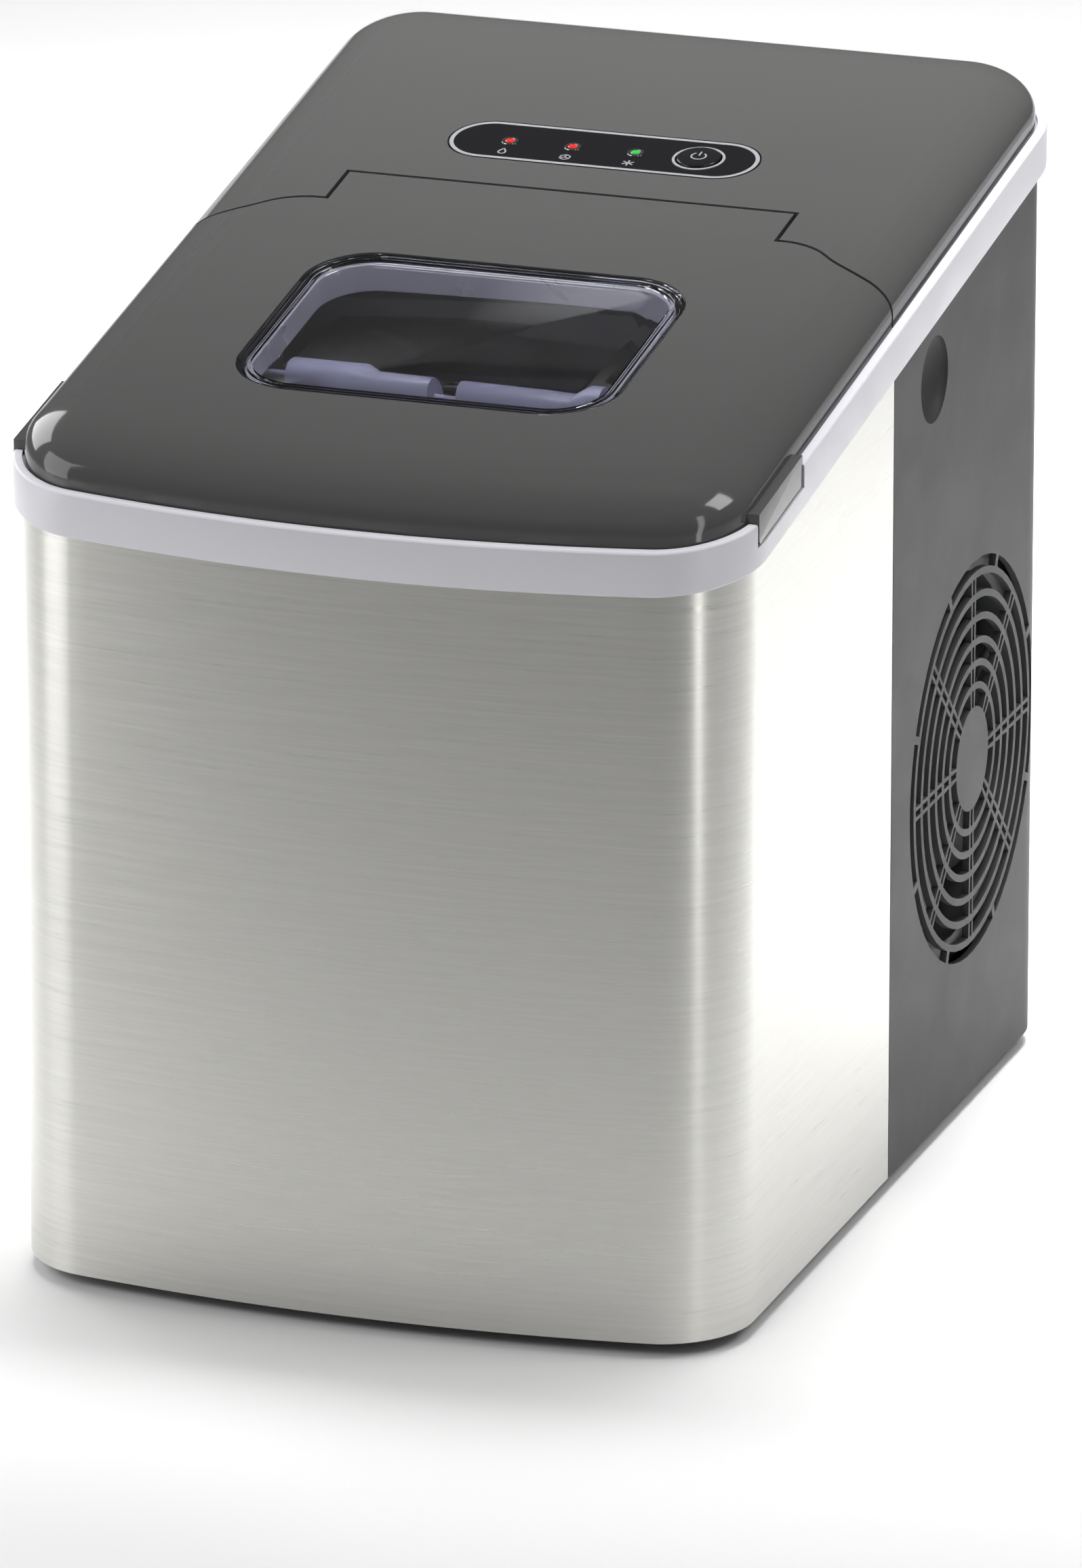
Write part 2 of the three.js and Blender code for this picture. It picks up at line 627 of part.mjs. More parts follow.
function liner() {
  finish('#8d9096', 0.4);
  const rimTop = below(bezelLow, -(BEZEL_SOCKET - TOUCH_GAP));
  const rimLow = below(bezelLow, -2.2);
  let tub = between(tubPlan(0), LINER_FLOOR, rimTop);
  tub = tub.add(between(tubPlan(7), rimLow, rimTop));
  for (const x of [pumpX, drainX]) {
    const ends = [fromFront(LINER_BACK) - 1, foamBackY + 2];
    tub = tub.add(bar('y', [x, 0, OUTLET_HEIGHT], OUTLET_RADIUS, ends, 16));
  }
  tub = tub.subtract(between(tubPlan(-LINER_WALL), linerFloorTop, 999));
  const postYs = [fromFront(BASKET_FRONT + 12), fromFront(BASKET_BACK - 8)];
  for (const [start, end] of bothSides(linerInner - BASKET_SIDE - 6, linerInner + 1)) {
    for (const y of postYs) {
      const post = block([start, end], [y - 4, y + 4], [LINER_FLOOR + 1, linerFloorTop + POST_HEIGHT]);
      tub = tub.add(post);
    }
  }
  for (const x of [pumpX, drainX]) {
    tub = tub.subtract(bar('y', [x, 0, OUTLET_HEIGHT], 3, throughBack, 12));
  }
  piece('liner', pipeHoles(tub));
}

function foam() {
  finish('#f2f2ee', 0.95);
  const outer = between(bodyPlan(-FOAM_SIDE), panFloorTop + RUN_GAP, below(bezelLow, -1.9));
  const hollow = between(tubPlan(RUN_GAP), LINER_FLOOR - RUN_GAP, 999);
  let jacket = outer.intersect(frontHalf(foamBackY)).subtract(hollow);
  for (const x of [-footX, footX]) {
    jacket = jacket.subtract(bar('z', [x, footYs[0], 0], 7, [0, 14], 12));
  }
  for (const x of [pumpX, drainX]) {
    const hole = bar('y', [x, 0, OUTLET_HEIGHT], OUTLET_RADIUS + RUN_GAP, throughBack, 16);
    jacket = jacket.subtract(hole);
  }
  piece('insulation', pipeHoles(jacket));
}

const basketHalf = linerInner - BASKET_SIDE;
const basketLow = linerFloorTop + POST_HEIGHT + TOUCH_GAP;
const chuteTop = (y) => trayZ - trayOuter - 4 + (y - trayY) * 0.25;
const chuteFront = fromFront(BASKET_BACK + 3);

function iceBasket() {
  finish('#dfe3ee', 0.35);
  const front = fromFront(BASKET_FRONT);
  const back = fromFront(BASKET_BACK);
  const frontRim = bezelLow(front) - BASKET_FRONT_DROP;
  const backRim = chuteTop(chuteFront) - 6;
  const rim = (y) => THREE.MathUtils.mapLinear(y, front, back, frontRim, backRim);
  const outer = between(roundedPlan(basketHalf, front, back, 10, 3), basketLow, rim);
  const room = roundedPlan(basketHalf - BASKET_WALL, front + BASKET_WALL, back - BASKET_WALL, 8.2, 3);
  let basket = outer.subtract(between(room, basketLow + BASKET_WALL, 999));
  const lip = roundedPlan(basketHalf + 2.5, front - 2.5, back + 2.5, 12.5, 3);
  const lipBand = between(lip, below(rim, 2.5), rim).subtract(between(room, 0, 999));
  basket = basket.add(lipBand);
  for (let column = -3; column <= 3; column += 1) {
    const x = column * basketHalf * 0.25;
    basket = basket.subtract(block([x - 4, x + 4], [front + 10, back - 10], [0, basketLow + 5]));
    const long = [x - 3, x + 3];
    basket = basket.subtract(block(long, [front - 5, front + 5], [basketLow + 12, basketLow + 46]));
  }
  piece('ice_basket', basket);
}

function iceChute() {
  finish('#9a9da6', 0.4);
  const back = fromFront(LINER_BACK) - LINER_WALL - RUN_GAP;
  const half = linerInner - RUN_GAP;
  let chute = slopedBlock([-half, half], [chuteFront, back], below(chuteTop, 2), chuteTop);
  for (const ends of bothSides(half - 2, half)) {
    chute = chute.add(slopedBlock(ends, [chuteFront, back], below(chuteTop, 2), below(chuteTop, -9)));
  }
  chute = chute.intersect(between(tubPlan(-LINER_WALL - RUN_GAP), 0, 999));
  for (let column = -4; column <= 4; column += 1) {
    const x = column * half * 0.2;
    const slot = [chuteFront + 10, back - 12];
    chute = chute.subtract(slopedBlock([x - 3.5, x + 3.5], slot, 0, 999));
  }
  piece('ice_chute', chute);
}

function iceSensors() {
  finish('#e6e6e8', 0.4);
  const y = fromFront(BASKET_FRONT + 34);
  const z = bezelLow(y) - 44;
  for (const [index, ends] of bothSides(linerInner - 7, linerInner - TOUCH_GAP).entries()) {
    const body = block(ends, [y - 8, y + 8], [z - 7, z + 7]);
    const [start, end] = ends;
    const eye = index ? [end - 1, end + 2] : [start - 2, start + 1];
    const name = index ? 'ice_sensor_left' : 'ice_sensor_right';
    piece(name, body.add(bar('x', [0, y, z], 3, eye, 12)));
  }
}

const floatX = linerInner - 30;
const floatY = trayY - 12;

function levelFloat() {
  finish('#f0f0f0', 0.5);
  const foot = linerFloorTop + TOUCH_GAP;
  piece('float_stem', turned(floatX, floatY, [
    [0, foot],
    [8, foot],
    [8, foot + 2],
    [2.4, foot + 2],
    [2.4, foot + 44],
    [5, foot + 44],
    [5, foot + 46],
    [0, foot + 46],
  ], 16));
  finish('#2a6fc0', 0.4);
  const low = foot + 2 + TOUCH_GAP;
  const ring = bar('z', [floatX, floatY, 0], 10, [low, low + 13], 18);
  const hole = bar('z', [floatX, floatY, 0], 2.4 + RUN_GAP, [low - 1, low + 14], 16);
  piece('level_float', ring.subtract(hole));
}

// ---- Ice-making mechanism ------------------------------------------------------------

const frameIn = TRAY_HALF + 4;
const frameOut = frameIn + FRAME_WALL;
const headerLow = trayZ + TRAY_RADIUS + 4;
const headerTop = headerLow + 8;
const shovelY = fromFront(SHOVEL_AXIS);
const shovelZ = crownTop(shovelY) - SHOVEL_DEPTH;
const shovelPivot = (radius, ends) => bar('x', [0, shovelY, shovelZ], radius, ends, 14);
const frameFront = trayY - trayOuter - 8;

function mechanismFrame() {
  finish('#2d2e33', 0.45);
  const back = fromFront(LINER_BACK) - LINER_WALL - RUN_GAP;
  const top = bezelLow(trayY) + FRAME_RISE;
  const plateLow = top - FRAME_WALL;
  let frame = block([-frameOut, frameOut], [trayY - 16, back], [plateLow, top]);
  for (const ends of bothSides(frameIn, frameOut)) {
    const cheek = block(ends, [frameFront, back], [trayZ - 8, top]);
    const arm = block(ends, [shovelY - 6, frameFront + 1], [shovelZ - 18, shovelZ + 6]);
    frame = frame.add(cheek).add(arm);
  }
  for (const [column, share] of [[-1, 0.35], [0, 1], [1, 1], [2, 1], [3, 1]]) {
    const x = column * FRAME_SLOT_PITCH;
    const long = [trayY - 11, trayY - 11 + share * 30];
    frame = frame.subtract(block([x - 2.2, x + 2.2], long, [plateLow - 1, top + 1]));
  }
  const across = [-frameOut - 1, frameOut + 1];
  frame = frame.subtract(bar('x', [0, trayY, trayZ], 2.5 + RUN_GAP, across, 14));
  piece('mechanism_frame', frame.subtract(shovelPivot(2 + RUN_GAP, across)));
}

function evaporator() {
  finish('#c9ccd0', 0.25, 0.9);
  const half = 2 * FINGER_PITCH + 9;
  const tip = trayZ - 17.5;
  let header = block([-half, half], [trayY - 13, trayY + 13], [headerLow, headerTop]);
  for (const [first, row] of [[-2, -FINGER_ROW], [-1.5, FINGER_ROW]]) {
    for (let i = first; i <= -first; i += 1) {
      const foot = [i * FINGER_PITCH, trayY + row, 0];
      header = header.add(bar('z', foot, FINGER_RADIUS, [tip, headerTop - 1], 12));
    }
  }
  piece('evaporator', header);
}

// A pie slice across the machine, round the tray's axis.
function traySector(radius, startDegrees, endDegrees, [x0, x1]) {
  const points = [new THREE.Vector2(0, 0)];
  arcTo(points, 0, 0, radius, startDegrees, endDegrees, 14);
  const options = { depth: x1 - x0, bevelEnabled: false };
  const geometry = new THREE.ExtrudeGeometry(new THREE.Shape(points), options);
  geometry.rotateX(Math.PI / 2);
  geometry.rotateZ(Math.PI / 2);
  geometry.translate(x0, trayY, trayZ);
  return solid(geometry);
}

function waterTray() {
  finish('#d7dae4', 0.35);
  const whole = traySector(trayOuter, 190, 350, [-TRAY_HALF, TRAY_HALF]);
  const roomEnds = [-TRAY_HALF + TRAY_WALL, TRAY_HALF - TRAY_WALL];
  const room = traySector(TRAY_RADIUS, 180, 360, roomEnds);
  let tray = whole.subtract(room);
  for (const ends of bothSides(TRAY_HALF - TRAY_WALL, TRAY_HALF + 1.5)) {
    tray = tray.add(bar('x', [0, trayY, trayZ], 5.5, ends, 16));
  }
  tray = tray.add(bar('x', [0, trayY, trayZ], 2.5, [-frameOut, -TRAY_HALF], 14));
  const socket = [TRAY_HALF - TRAY_WALL - 1, TRAY_HALF + 2];
  tray = tray.subtract(bar('x', [0, trayY, trayZ], 2.5 + RUN_GAP, socket, 14));
  piece('water_tray', tray);
}

function trayMotor() {
  finish('#ececec', 0.5);
  const near = frameOut + TOUCH_GAP;
  const gearbox = block([near, near + 17], [trayY - 20, trayY + 20], [trayZ - 20, trayZ + 18]);
  const can = bar('x', [0, trayY, trayZ], 15, [near + 16, near + 26], 20);
  const shaft = bar('x', [0, trayY, trayZ], 2.5, [TRAY_HALF - TRAY_WALL, near + 1], 14);
  piece('tray_motor', fuse(gearbox, can, shaft));
}

// Two round lobes on one shaft, each with a blade that slopes back to the tray.
function iceShovel() {
  finish('#aeb4d6', 0.3);
  const tip = new THREE.Vector2(trayY - trayOuter - 4.6, trayZ + 5);
  const blade = new THREE.Shape([
    new THREE.Vector2(shovelY - 1, shovelZ),
    new THREE.Vector2(shovelY + 3, shovelZ),
    new THREE.Vector2(tip.x + 2, tip.y),
    tip,
  ]);
  let shovel = shovelPivot(2, [-frameOut, frameOut]);
  for (const ends of bothSides(SHOVEL_GAP / 2, SHOVEL_HALF)) {
    const options = { depth: ends[1] - ends[0], bevelEnabled: false };
    const plate = new THREE.ExtrudeGeometry(blade, options);
    plate.rotateX(Math.PI / 2);
    plate.rotateZ(Math.PI / 2);
    plate.translate(ends[0], 0, 0);
    shovel = shovel.add(bar('x', [0, shovelY, shovelZ], SHOVEL_RADIUS, ends, 24));
    shovel = shovel.add(solid(plate));
  }
  piece('ice_shovel', shovel);
}

// ---- Pump, hoses and drain -----------------------------------------------------------

const pumpY = [foamBackY + 12, foamBackY + 52];
const spigotY = foamBackY + 2 + TOUCH_GAP;

function pumpAndHose() {
  finish('#3a3b3f', 0.5);
  const centre = [pumpX, 0, OUTLET_HEIGHT - 8];
  const outletY = pumpY[0] + 10;
  piece('water_pump', fuse(
    bar('y', centre, 16, pumpY, 20),
    bar('y', [pumpX, 0, OUTLET_HEIGHT], 4, [spigotY, pumpY[0] + 1], 14),
    bar('z', [pumpX, outletY, 0], 4, [OUTLET_HEIGHT + 4, OUTLET_HEIGHT + 16], 14),
    block([pumpX - 12, pumpX + 12], [pumpY[0] + 4, pumpY[1] - 4], [panFloorTop + TOUCH_GAP, 30]),
  ));
  finish('#dfe2e6', 0.3);
  const top = OUTLET_HEIGHT + 16 + TOUCH_GAP;
  piece('fill_hose', tube(3.5, [
    [pumpX, outletY, top],
    [pumpX, outletY, top + 25],
    [pumpX + 4, outletY + 2, trayZ - 40],
    [hoseX - 8, outletY + 2, hoseZ - 24],
    [hoseX, outletY - 8, hoseZ - 4],
    [hoseX, foamBackY, hoseZ],
    [hoseX, fromFront(LINER_BACK), hoseZ],
    [hoseX, trayY + 10, hoseZ],
  ], 28));
}

function drain() {
  finish('#dfe2e6', 0.4);
  const centre = [drainX, 0, OUTLET_HEIGHT];
  const flangeBack = bodyBack - HOUSING_WALL - TOUCH_GAP;
  piece('drain_tube', cut(
    fuse(
      bar('y', centre, 5, [spigotY, bodyBack + 1]),
      bar('y', centre, 10, [flangeBack - 2.5, flangeBack]),
    ),
    bar('y', centre, 3, [spigotY - 9, bodyBack + 9], 14),
  ));
  finish('#26272a', 0.7);
  const capFront = bodyBack + TOUCH_GAP;
  const cap = bar('y', centre, 10.5, [capFront, bodyBack + 7.5], 24);
  const plug = bar('y', centre, 3 - 0.2, [bodyBack - 8, capFront + 3], 14);
  const socket = bar('y', centre, 5 + RUN_GAP, [capFront - 1, bodyBack + 1.5], 20);
  piece('drain_cap', cap.subtract(socket).add(plug));
}

// ---- Refrigeration -------------------------------------------------------------------

const compressorY = grilleY + 4;
const grommetTop = panFloorTop + 8;
const shellLow = grommetTop + 3;
const shellTop = shellLow + COMPRESSOR_HEIGHT;

function compressor() {
  finish('#17181a', 0.35, 0.2);
  const r = COMPRESSOR_RADIUS;
  const body = turned(COMPRESSOR_X, compressorY, [
    [0, shellLow],
    [r - 14, shellLow],
    [r - 2, shellLow + 16],
    [r - 2, shellLow + 54],
    [r, shellLow + 56],
    [r, shellLow + 62],
    [r - 2, shellLow + 64],
    [r - 6, shellTop - 14],
    [r - 22, shellTop],
    [0, shellTop],
  ], 24);
  const corners = grommetPlaces().map(([x, y]) => new THREE.Vector2(x, y));
  let whole = body.add(between(new THREE.Shape(corners), grommetTop + TOUCH_GAP, shellLow + 1));
  for (const [x, y] of grommetPlaces()) {
    whole = whole.add(bar('z', [x, y, 0], 9, [grommetTop + TOUCH_GAP, shellLow], 16));
  }
  piece('compressor', whole);

  finish('#202022', 0.9);
  for (const [index, [x, y]] of grommetPlaces().entries()) {
    const low = panFloorTop + TOUCH_GAP;
    piece(`compressor_mount_${index + 1}`, turned(x, y, [
      [0, low],
      [7, low],
      [5.5, low + 3.5],
      [7, grommetTop],
      [0, grommetTop],
    ], 16));
  }

  finish('#d9d4c4', 0.6);
  const near = compressorY - r - RUN_GAP;
  const wide = [COMPRESSOR_X - 16, COMPRESSOR_X + 16];
  piece('relay_cover', block(wide, [near - 14, near], [shellLow + 30, shellLow + 72]));
}

function grommetPlaces() {
  const reach = COMPRESSOR_RADIUS + 4;
  return [90, 210, 330].map((degrees) => {
    const turn = THREE.MathUtils.degToRad(degrees);
    return [COMPRESSOR_X + reach * Math.cos(turn), compressorY + reach * Math.sin(turn)];
  });
}

const condenserX = [-bodyHalf + HOUSING_WALL + 4, -bodyHalf + HOUSING_WALL + 22];
const condenserLow = 62;
const condenserTop = 182;
const condenserY = [grilleY - 56, grilleY + 60];

function condenser() {
  finish('#b8babd', 0.4, 0.8);
  const middle = (condenserX[0] + condenserX[1]) / 2;
  const fins = 8;
  const rows = [condenserLow + 16, condenserLow + 46, condenserTop - 46, condenserTop - 16];
  const pieces = rows.map((z) => (
    bar('y', [middle, 0, z], 3.4, [condenserY[0] - 8, condenserY[1] + 8], 6)
  ));
  for (let i = 0; i < fins; i += 1) {
    const y = THREE.MathUtils.mapLinear(i, 0, fins - 1, condenserY[0], condenserY[1] - 1);
    pieces.push(block(condenserX, [y, y + 1], [condenserLow, condenserTop]));
  }
  for (const [low, high, end] of [[0, 1, 1], [2, 3, 1], [1, 2, 0]]) {
    const y = end ? condenserY[1] + 5 : condenserY[0] - 5;
    pieces.push(bar('z', [middle, y, 0], 3.4, [rows[low], rows[high]], 6));
  }
  piece('condenser', fuse(...pieces));
}

function fanUnit() {
  finish('#2a2b2e', 0.5);
  const wall = bodyHalf - HOUSING_WALL;
  const centre = [0, grilleY, GRILLE_HEIGHT];
  const duct = [wall - 22, wall - 4];
  const ring = bar('x', centre, DUCT_RADIUS + 2.5, duct, 36);
  const plateY = [grilleY - DUCT_RADIUS - 8, grilleY + DUCT_RADIUS + 8];
  const plateZ = [GRILLE_HEIGHT - DUCT_RADIUS - 8, GRILLE_HEIGHT + DUCT_RADIUS + 8];
  let shroud = ring.add(block([wall - 6.5, wall - 4], plateY, plateZ));
  shroud = shroud.subtract(bar('x', centre, DUCT_RADIUS, [duct[0] - 1, wall], 36));
  const armX = [duct[0], duct[0] + 3];
  const about = (middle, reach) => [middle - reach, middle + reach];
  const armReach = DUCT_RADIUS + 1;
  shroud = shroud.add(block(armX, about(grilleY, armReach), about(GRILLE_HEIGHT, 3)));
  shroud = shroud.add(block(armX, about(grilleY, 3), about(GRILLE_HEIGHT, armReach)));
  shroud = shroud.add(bar('x', centre, 22.5, [duct[0] - 10, armX[1]], 24));
  shroud = shroud.subtract(bar('x', centre, 19 + RUN_GAP, [duct[0] - 11, armX[1] + 1], 24));
  piece('fan_shroud', shroud);

  finish('#8e9094', 0.4, 0.7);
  const motorEnds = [duct[0] - 24, duct[0] + 1];
  const hubEnds = [armX[1] + 1.5, wall - 5];
  const shaft = bar('x', centre, 2, [motorEnds[1] - 1, hubEnds[1] - 4], 12);
  piece('fan_motor', bar('x', centre, 19, motorEnds, 24).add(shaft));

  finish('#3c3d40', 0.5);
  let fan = bar('x', centre, 14, hubEnds, 20);
  const bladeCount = 5;
  for (let i = 0; i < bladeCount; i += 1) {
    const blade = new THREE.BoxGeometry(1.6, 20, FAN_RADIUS - 12);
    blade.rotateZ(THREE.MathUtils.degToRad(33));
    blade.translate(0, 0, (FAN_RADIUS + 12) / 2);
    blade.rotateX((i / bladeCount) * Math.PI * 2);
    blade.translate((hubEnds[0] + hubEnds[1]) / 2, grilleY, GRILLE_HEIGHT);
    fan = fan.add(solid(blade));
  }
  piece('fan_blade', fan.subtract(bar('x', centre, 2 + RUN_GAP, [hubEnds[0] - 1, hubEnds[1] - 3], 12)));
}

function refrigerantLines() {
  finish('#b8733f', 0.35, 0.9);
  const condenserMiddle = (condenserX[0] + condenserX[1]) / 2;
  const top = shellTop + TOUCH_GAP;
  const headerBack = trayY + 13 + TOUCH_GAP;
  piece('suction_line', tube(4, [
    [lineX, headerBack, hoseZ],
    [lineX, fromFront(LINER_BACK), hoseZ],
    [lineX, foamBackY + 4, hoseZ],
    [lineX - 4, foamBackY + 18, hoseZ - 16],
    [COMPRESSOR_X + 24, compressorY - 20, (hoseZ + top) / 2],
    [COMPRESSOR_X + 12, compressorY, top + 26],
    [COMPRESSOR_X + 12, compressorY, top],
  ], 22));
  piece('discharge_line', tube(3, [
    [COMPRESSOR_X - 12, compressorY, top],
    [COMPRESSOR_X - 12, compressorY, top + 24],
    [COMPRESSOR_X - 30, compressorY + 20, top + 50],
    [condenserMiddle + 10, condenserY[1] + 2, condenserTop + 18],
    [condenserMiddle, condenserY[1] + 5, condenserTop + 6],
    [condenserMiddle, condenserY[1] + 5, condenserTop - 16 + 3.8],
  ], 20));
  const drierX = pumpX + 8;
  const drierY = foamBackY + 66;
  const drierLow = panFloorTop + 26;
  piece('liquid_line', tube(1.8, [
    [drierX, drierY, drierLow + 78],
    [drierX, drierY, drierLow + 96],
    [drierX + 6, drierY - 12, trayZ - 30],
    [lineX - 44, foamBackY + 22, hoseZ - 22],
    [lineX - 14, foamBackY + 12, hoseZ - 3],
    [lineX - 14, foamBackY, hoseZ],
    [lineX - 14, headerBack, hoseZ],
  ], 24));
  piece('filter_drier', turned(drierX, drierY, [
    [0, drierLow],
    [2.5, drierLow],
    [2.5, drierLow + 6],
    [8, drierLow + 14],
    [8, drierLow + 62],
    [2.5, drierLow + 70],
    [2.5, drierLow + 78 - TOUCH_GAP],
    [0, drierLow + 78 - TOUCH_GAP],
  ], 16));
}

function powerBoard() {
  finish('#2f6b3a', 0.5);
  const back = bodyBack - HOUSING_WALL - 9;
  const low = condenserTop + 22;
  const board = block([-56, 44], [back - 2, back], [low, low + 56]);
  const transformer = block([-48, -14], [back - 26, back - 1], [low + 12, low + 44]);
  const relay = block([-4, 16], [back - 18, back - 1], [low + 8, low + 24]);
  const capacitor = bar('y', [30, 0, low + 40], 8, [back - 24, back - 1], 16);
  piece('power_board', fuse(board, transformer, relay, capacitor));
}

// ---- The whole machine ---------------------------------------------------------------

basePan();
feet();
steelWrap();
rearHousing();
rearFixings();
bezel();
rearCover();
controlPanel();
lidFrame();
lidWindow();
hingePins();
liner();
foam();
iceBasket();
iceChute();
iceSensors();
levelFloat();
mechanismFrame();
evaporator();
waterTray();
trayMotor();
iceShovel();
pumpAndHose();
drain();
compressor();
condenser();
fanUnit();
refrigerantLines();
powerBoard();

export default iceMaker;
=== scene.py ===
"""A countertop ice maker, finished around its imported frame, in metres: +X right, +Y back, +Z up."""

import math

import bmesh
import bpy
from mathutils import Matrix, Vector


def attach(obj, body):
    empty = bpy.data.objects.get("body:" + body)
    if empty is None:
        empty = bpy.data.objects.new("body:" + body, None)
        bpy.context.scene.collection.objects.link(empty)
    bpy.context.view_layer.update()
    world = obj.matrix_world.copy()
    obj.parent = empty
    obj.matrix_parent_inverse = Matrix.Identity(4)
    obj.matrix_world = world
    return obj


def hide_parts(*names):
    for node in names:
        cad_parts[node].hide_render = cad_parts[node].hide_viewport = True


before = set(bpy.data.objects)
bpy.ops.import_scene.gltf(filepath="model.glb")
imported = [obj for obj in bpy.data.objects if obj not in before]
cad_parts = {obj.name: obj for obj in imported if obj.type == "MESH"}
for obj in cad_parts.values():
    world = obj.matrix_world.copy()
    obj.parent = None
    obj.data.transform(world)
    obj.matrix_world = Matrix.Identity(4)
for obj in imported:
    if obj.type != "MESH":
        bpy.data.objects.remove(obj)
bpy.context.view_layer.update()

# Base pan: the moulded tray that everything stands on, in black plastic with a fine
# moulded grain. It closes the body from below and shows only as a thin dark line.
PAN_BLACK = (0.024, 0.025, 0.027, 1)


def moulded_surface():
    """Node group: how moulded plastic drifts in colour and gloss, and the height of its grain."""
    group = bpy.data.node_groups.new("moulded surface", "ShaderNodeTree")
    sockets = group.interface
    sockets.new_socket("Vector", in_out="INPUT", socket_type="NodeSocketVector")
    sockets.new_socket("Colour", in_out="INPUT", socket_type="NodeSocketColor")
    for name in ("Drift", "Smooth", "Rough", "Grain Scale"):
        sockets.new_socket(name, in_out="INPUT", socket_type="NodeSocketFloat")
    sockets.new_socket("Colour", in_out="OUTPUT", socket_type="NodeSocketColor")
    sockets.new_socket("Roughness", in_out="OUTPUT", socket_type="NodeSocketFloat")
    sockets.new_socket("Height", in_out="OUTPUT", socket_type="NodeSocketFloat")
    nodes, link = group.nodes, group.links.new
    given, out = nodes.new("NodeGroupInput"), nodes.new("NodeGroupOutput")

    flow = nodes.new("ShaderNodeTexNoise")
    flow.inputs["Scale"].default_value = 22
    flow.inputs["Detail"].default_value = 4
    link(given.outputs["Vector"], flow.inputs["Vector"])
    share = nodes.new("ShaderNodeMath")
    share.operation = "MULTIPLY"
    link(flow.outputs["Fac"], share.inputs[0])
    link(given.outputs["Drift"], share.inputs[1])
    darker = nodes.new("ShaderNodeMix")
    darker.data_type = "RGBA"
    darker.blend_type = "MULTIPLY"
    darker.inputs["B"].default_value = (0.35, 0.35, 0.36, 1)
    link(share.outputs["Value"], darker.inputs["Factor"])
    link(given.outputs["Colour"], darker.inputs["A"])
    link(darker.outputs["Result"], out.inputs["Colour"])

    wiped = nodes.new("ShaderNodeTexNoise")
    wiped.inputs["Scale"].default_value = 45
    wiped.inputs["Detail"].default_value = 6
    wiped.inputs["Distortion"].default_value = 0.6
    link(given.outputs["Vector"], wiped.inputs["Vector"])
    gloss = nodes.new("ShaderNodeMapRange")
    gloss.inputs["From Min"].default_value = 0.3
    gloss.inputs["From Max"].default_value = 0.7
    link(wiped.outputs["Fac"], gloss.inputs["Value"])
    link(given.outputs["Smooth"], gloss.inputs["To Min"])
    link(given.outputs["Rough"], gloss.inputs["To Max"])
    link(gloss.outputs["Result"], out.inputs["Roughness"])

    grain = nodes.new("ShaderNodeTexNoise")
    grain.inputs["Detail"].default_value = 2
    link(given.outputs["Vector"], grain.inputs["Vector"])
    link(given.outputs["Grain Scale"], grain.inputs["Scale"])
    link(grain.outputs["Fac"], out.inputs["Height"])
    return group


moulding = moulded_surface()


def moulded(name, colour, smooth, rough, grain_scale=2400, grain_depth=0.00002, drift=0.25):
    """A moulded material: colour, the range of its roughness, and its grain."""
    material = bpy.data.materials.new(name)
    material.use_nodes = True
    nodes, link = material.node_tree.nodes, material.node_tree.links.new
    shader = nodes["Principled BSDF"]
    place = nodes.new("ShaderNodeTexCoord")
    surface = nodes.new("ShaderNodeGroup")
    surface.node_tree = moulding
    surface.inputs["Colour"].default_value = colour
    surface.inputs["Drift"].default_value = drift
    surface.inputs["Smooth"].default_value = smooth
    surface.inputs["Rough"].default_value = rough
    surface.inputs["Grain Scale"].default_value = grain_scale
    link(place.outputs["Object"], surface.inputs["Vector"])
    link(surface.outputs["Colour"], shader.inputs["Base Color"])
    link(surface.outputs["Roughness"], shader.inputs["Roughness"])
    bump = nodes.new("ShaderNodeBump")
    bump.inputs["Strength"].default_value = 0.6
    bump.inputs["Distance"].default_value = grain_depth
    link(surface.outputs["Height"], bump.inputs["Height"])
    link(bump.outputs["Normal"], shader.inputs["Normal"])
    return material


def dress(node, material):
    """Gives a CAD part that stays as it is its material."""
    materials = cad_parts[node].data.materials
    materials.clear()
    materials.append(material)


pan_black = moulded("pan black", PAN_BLACK, 0.5, 0.65)
dress("base_pan", pan_black)

# Feet: four turned rubber feet, each pressed through a hole in the pan. The rubber is
# matt and a little dusty, with round edges.
RUBBER_BLACK = (0.013, 0.013, 0.013, 1)
FINE_EDGE = 0.0003
SOFT_EDGE = 0.0005
BROAD_EDGE = 0.0008
SMALL_EDGE = 0.0004
WELD = 1e-6
SHARP = math.radians(32)
FLAT = math.radians(20)


def placed(mesh, name, materials, body, slot, *nodes, crease=FLAT):
    """Turns a finished mesh into a piece that rides on a body, and hides the given CAD nodes.

    It is shaded smooth, apart from edges that turn by more than the crease.
    """
    bmesh.ops.recalc_face_normals(mesh, faces=mesh.faces)
    data = bpy.data.meshes.new(name)
    mesh.to_mesh(data)
    mesh.free()
    data.polygons.foreach_set("use_smooth", [True] * len(data.polygons))
    data.set_sharp_from_angle(angle=crease)
    piece = bpy.data.objects.new(name, data)
    bpy.context.scene.collection.objects.link(piece)
    for material in materials:
        data.materials.append(material)
    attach(piece, body)
    if nodes:
        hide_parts(*nodes)
    return piece


def rounded(mesh, edge, steps=2, least=SHARP):
    """Rounds every edge of a mesh that turns by more than an angle."""
    sharp = [
        line
        for line in mesh.edges
        if len(line.link_faces) == 2 and line.calc_face_angle(0) > least
    ]
    bmesh.ops.bevel(
        mesh,
        geom=sharp,
        offset=edge,
        offset_type="OFFSET",
        segments=steps,
        profile=0.5,
        affect="EDGES",
        clamp_overlap=True,
        material=-1,
    )
    return mesh


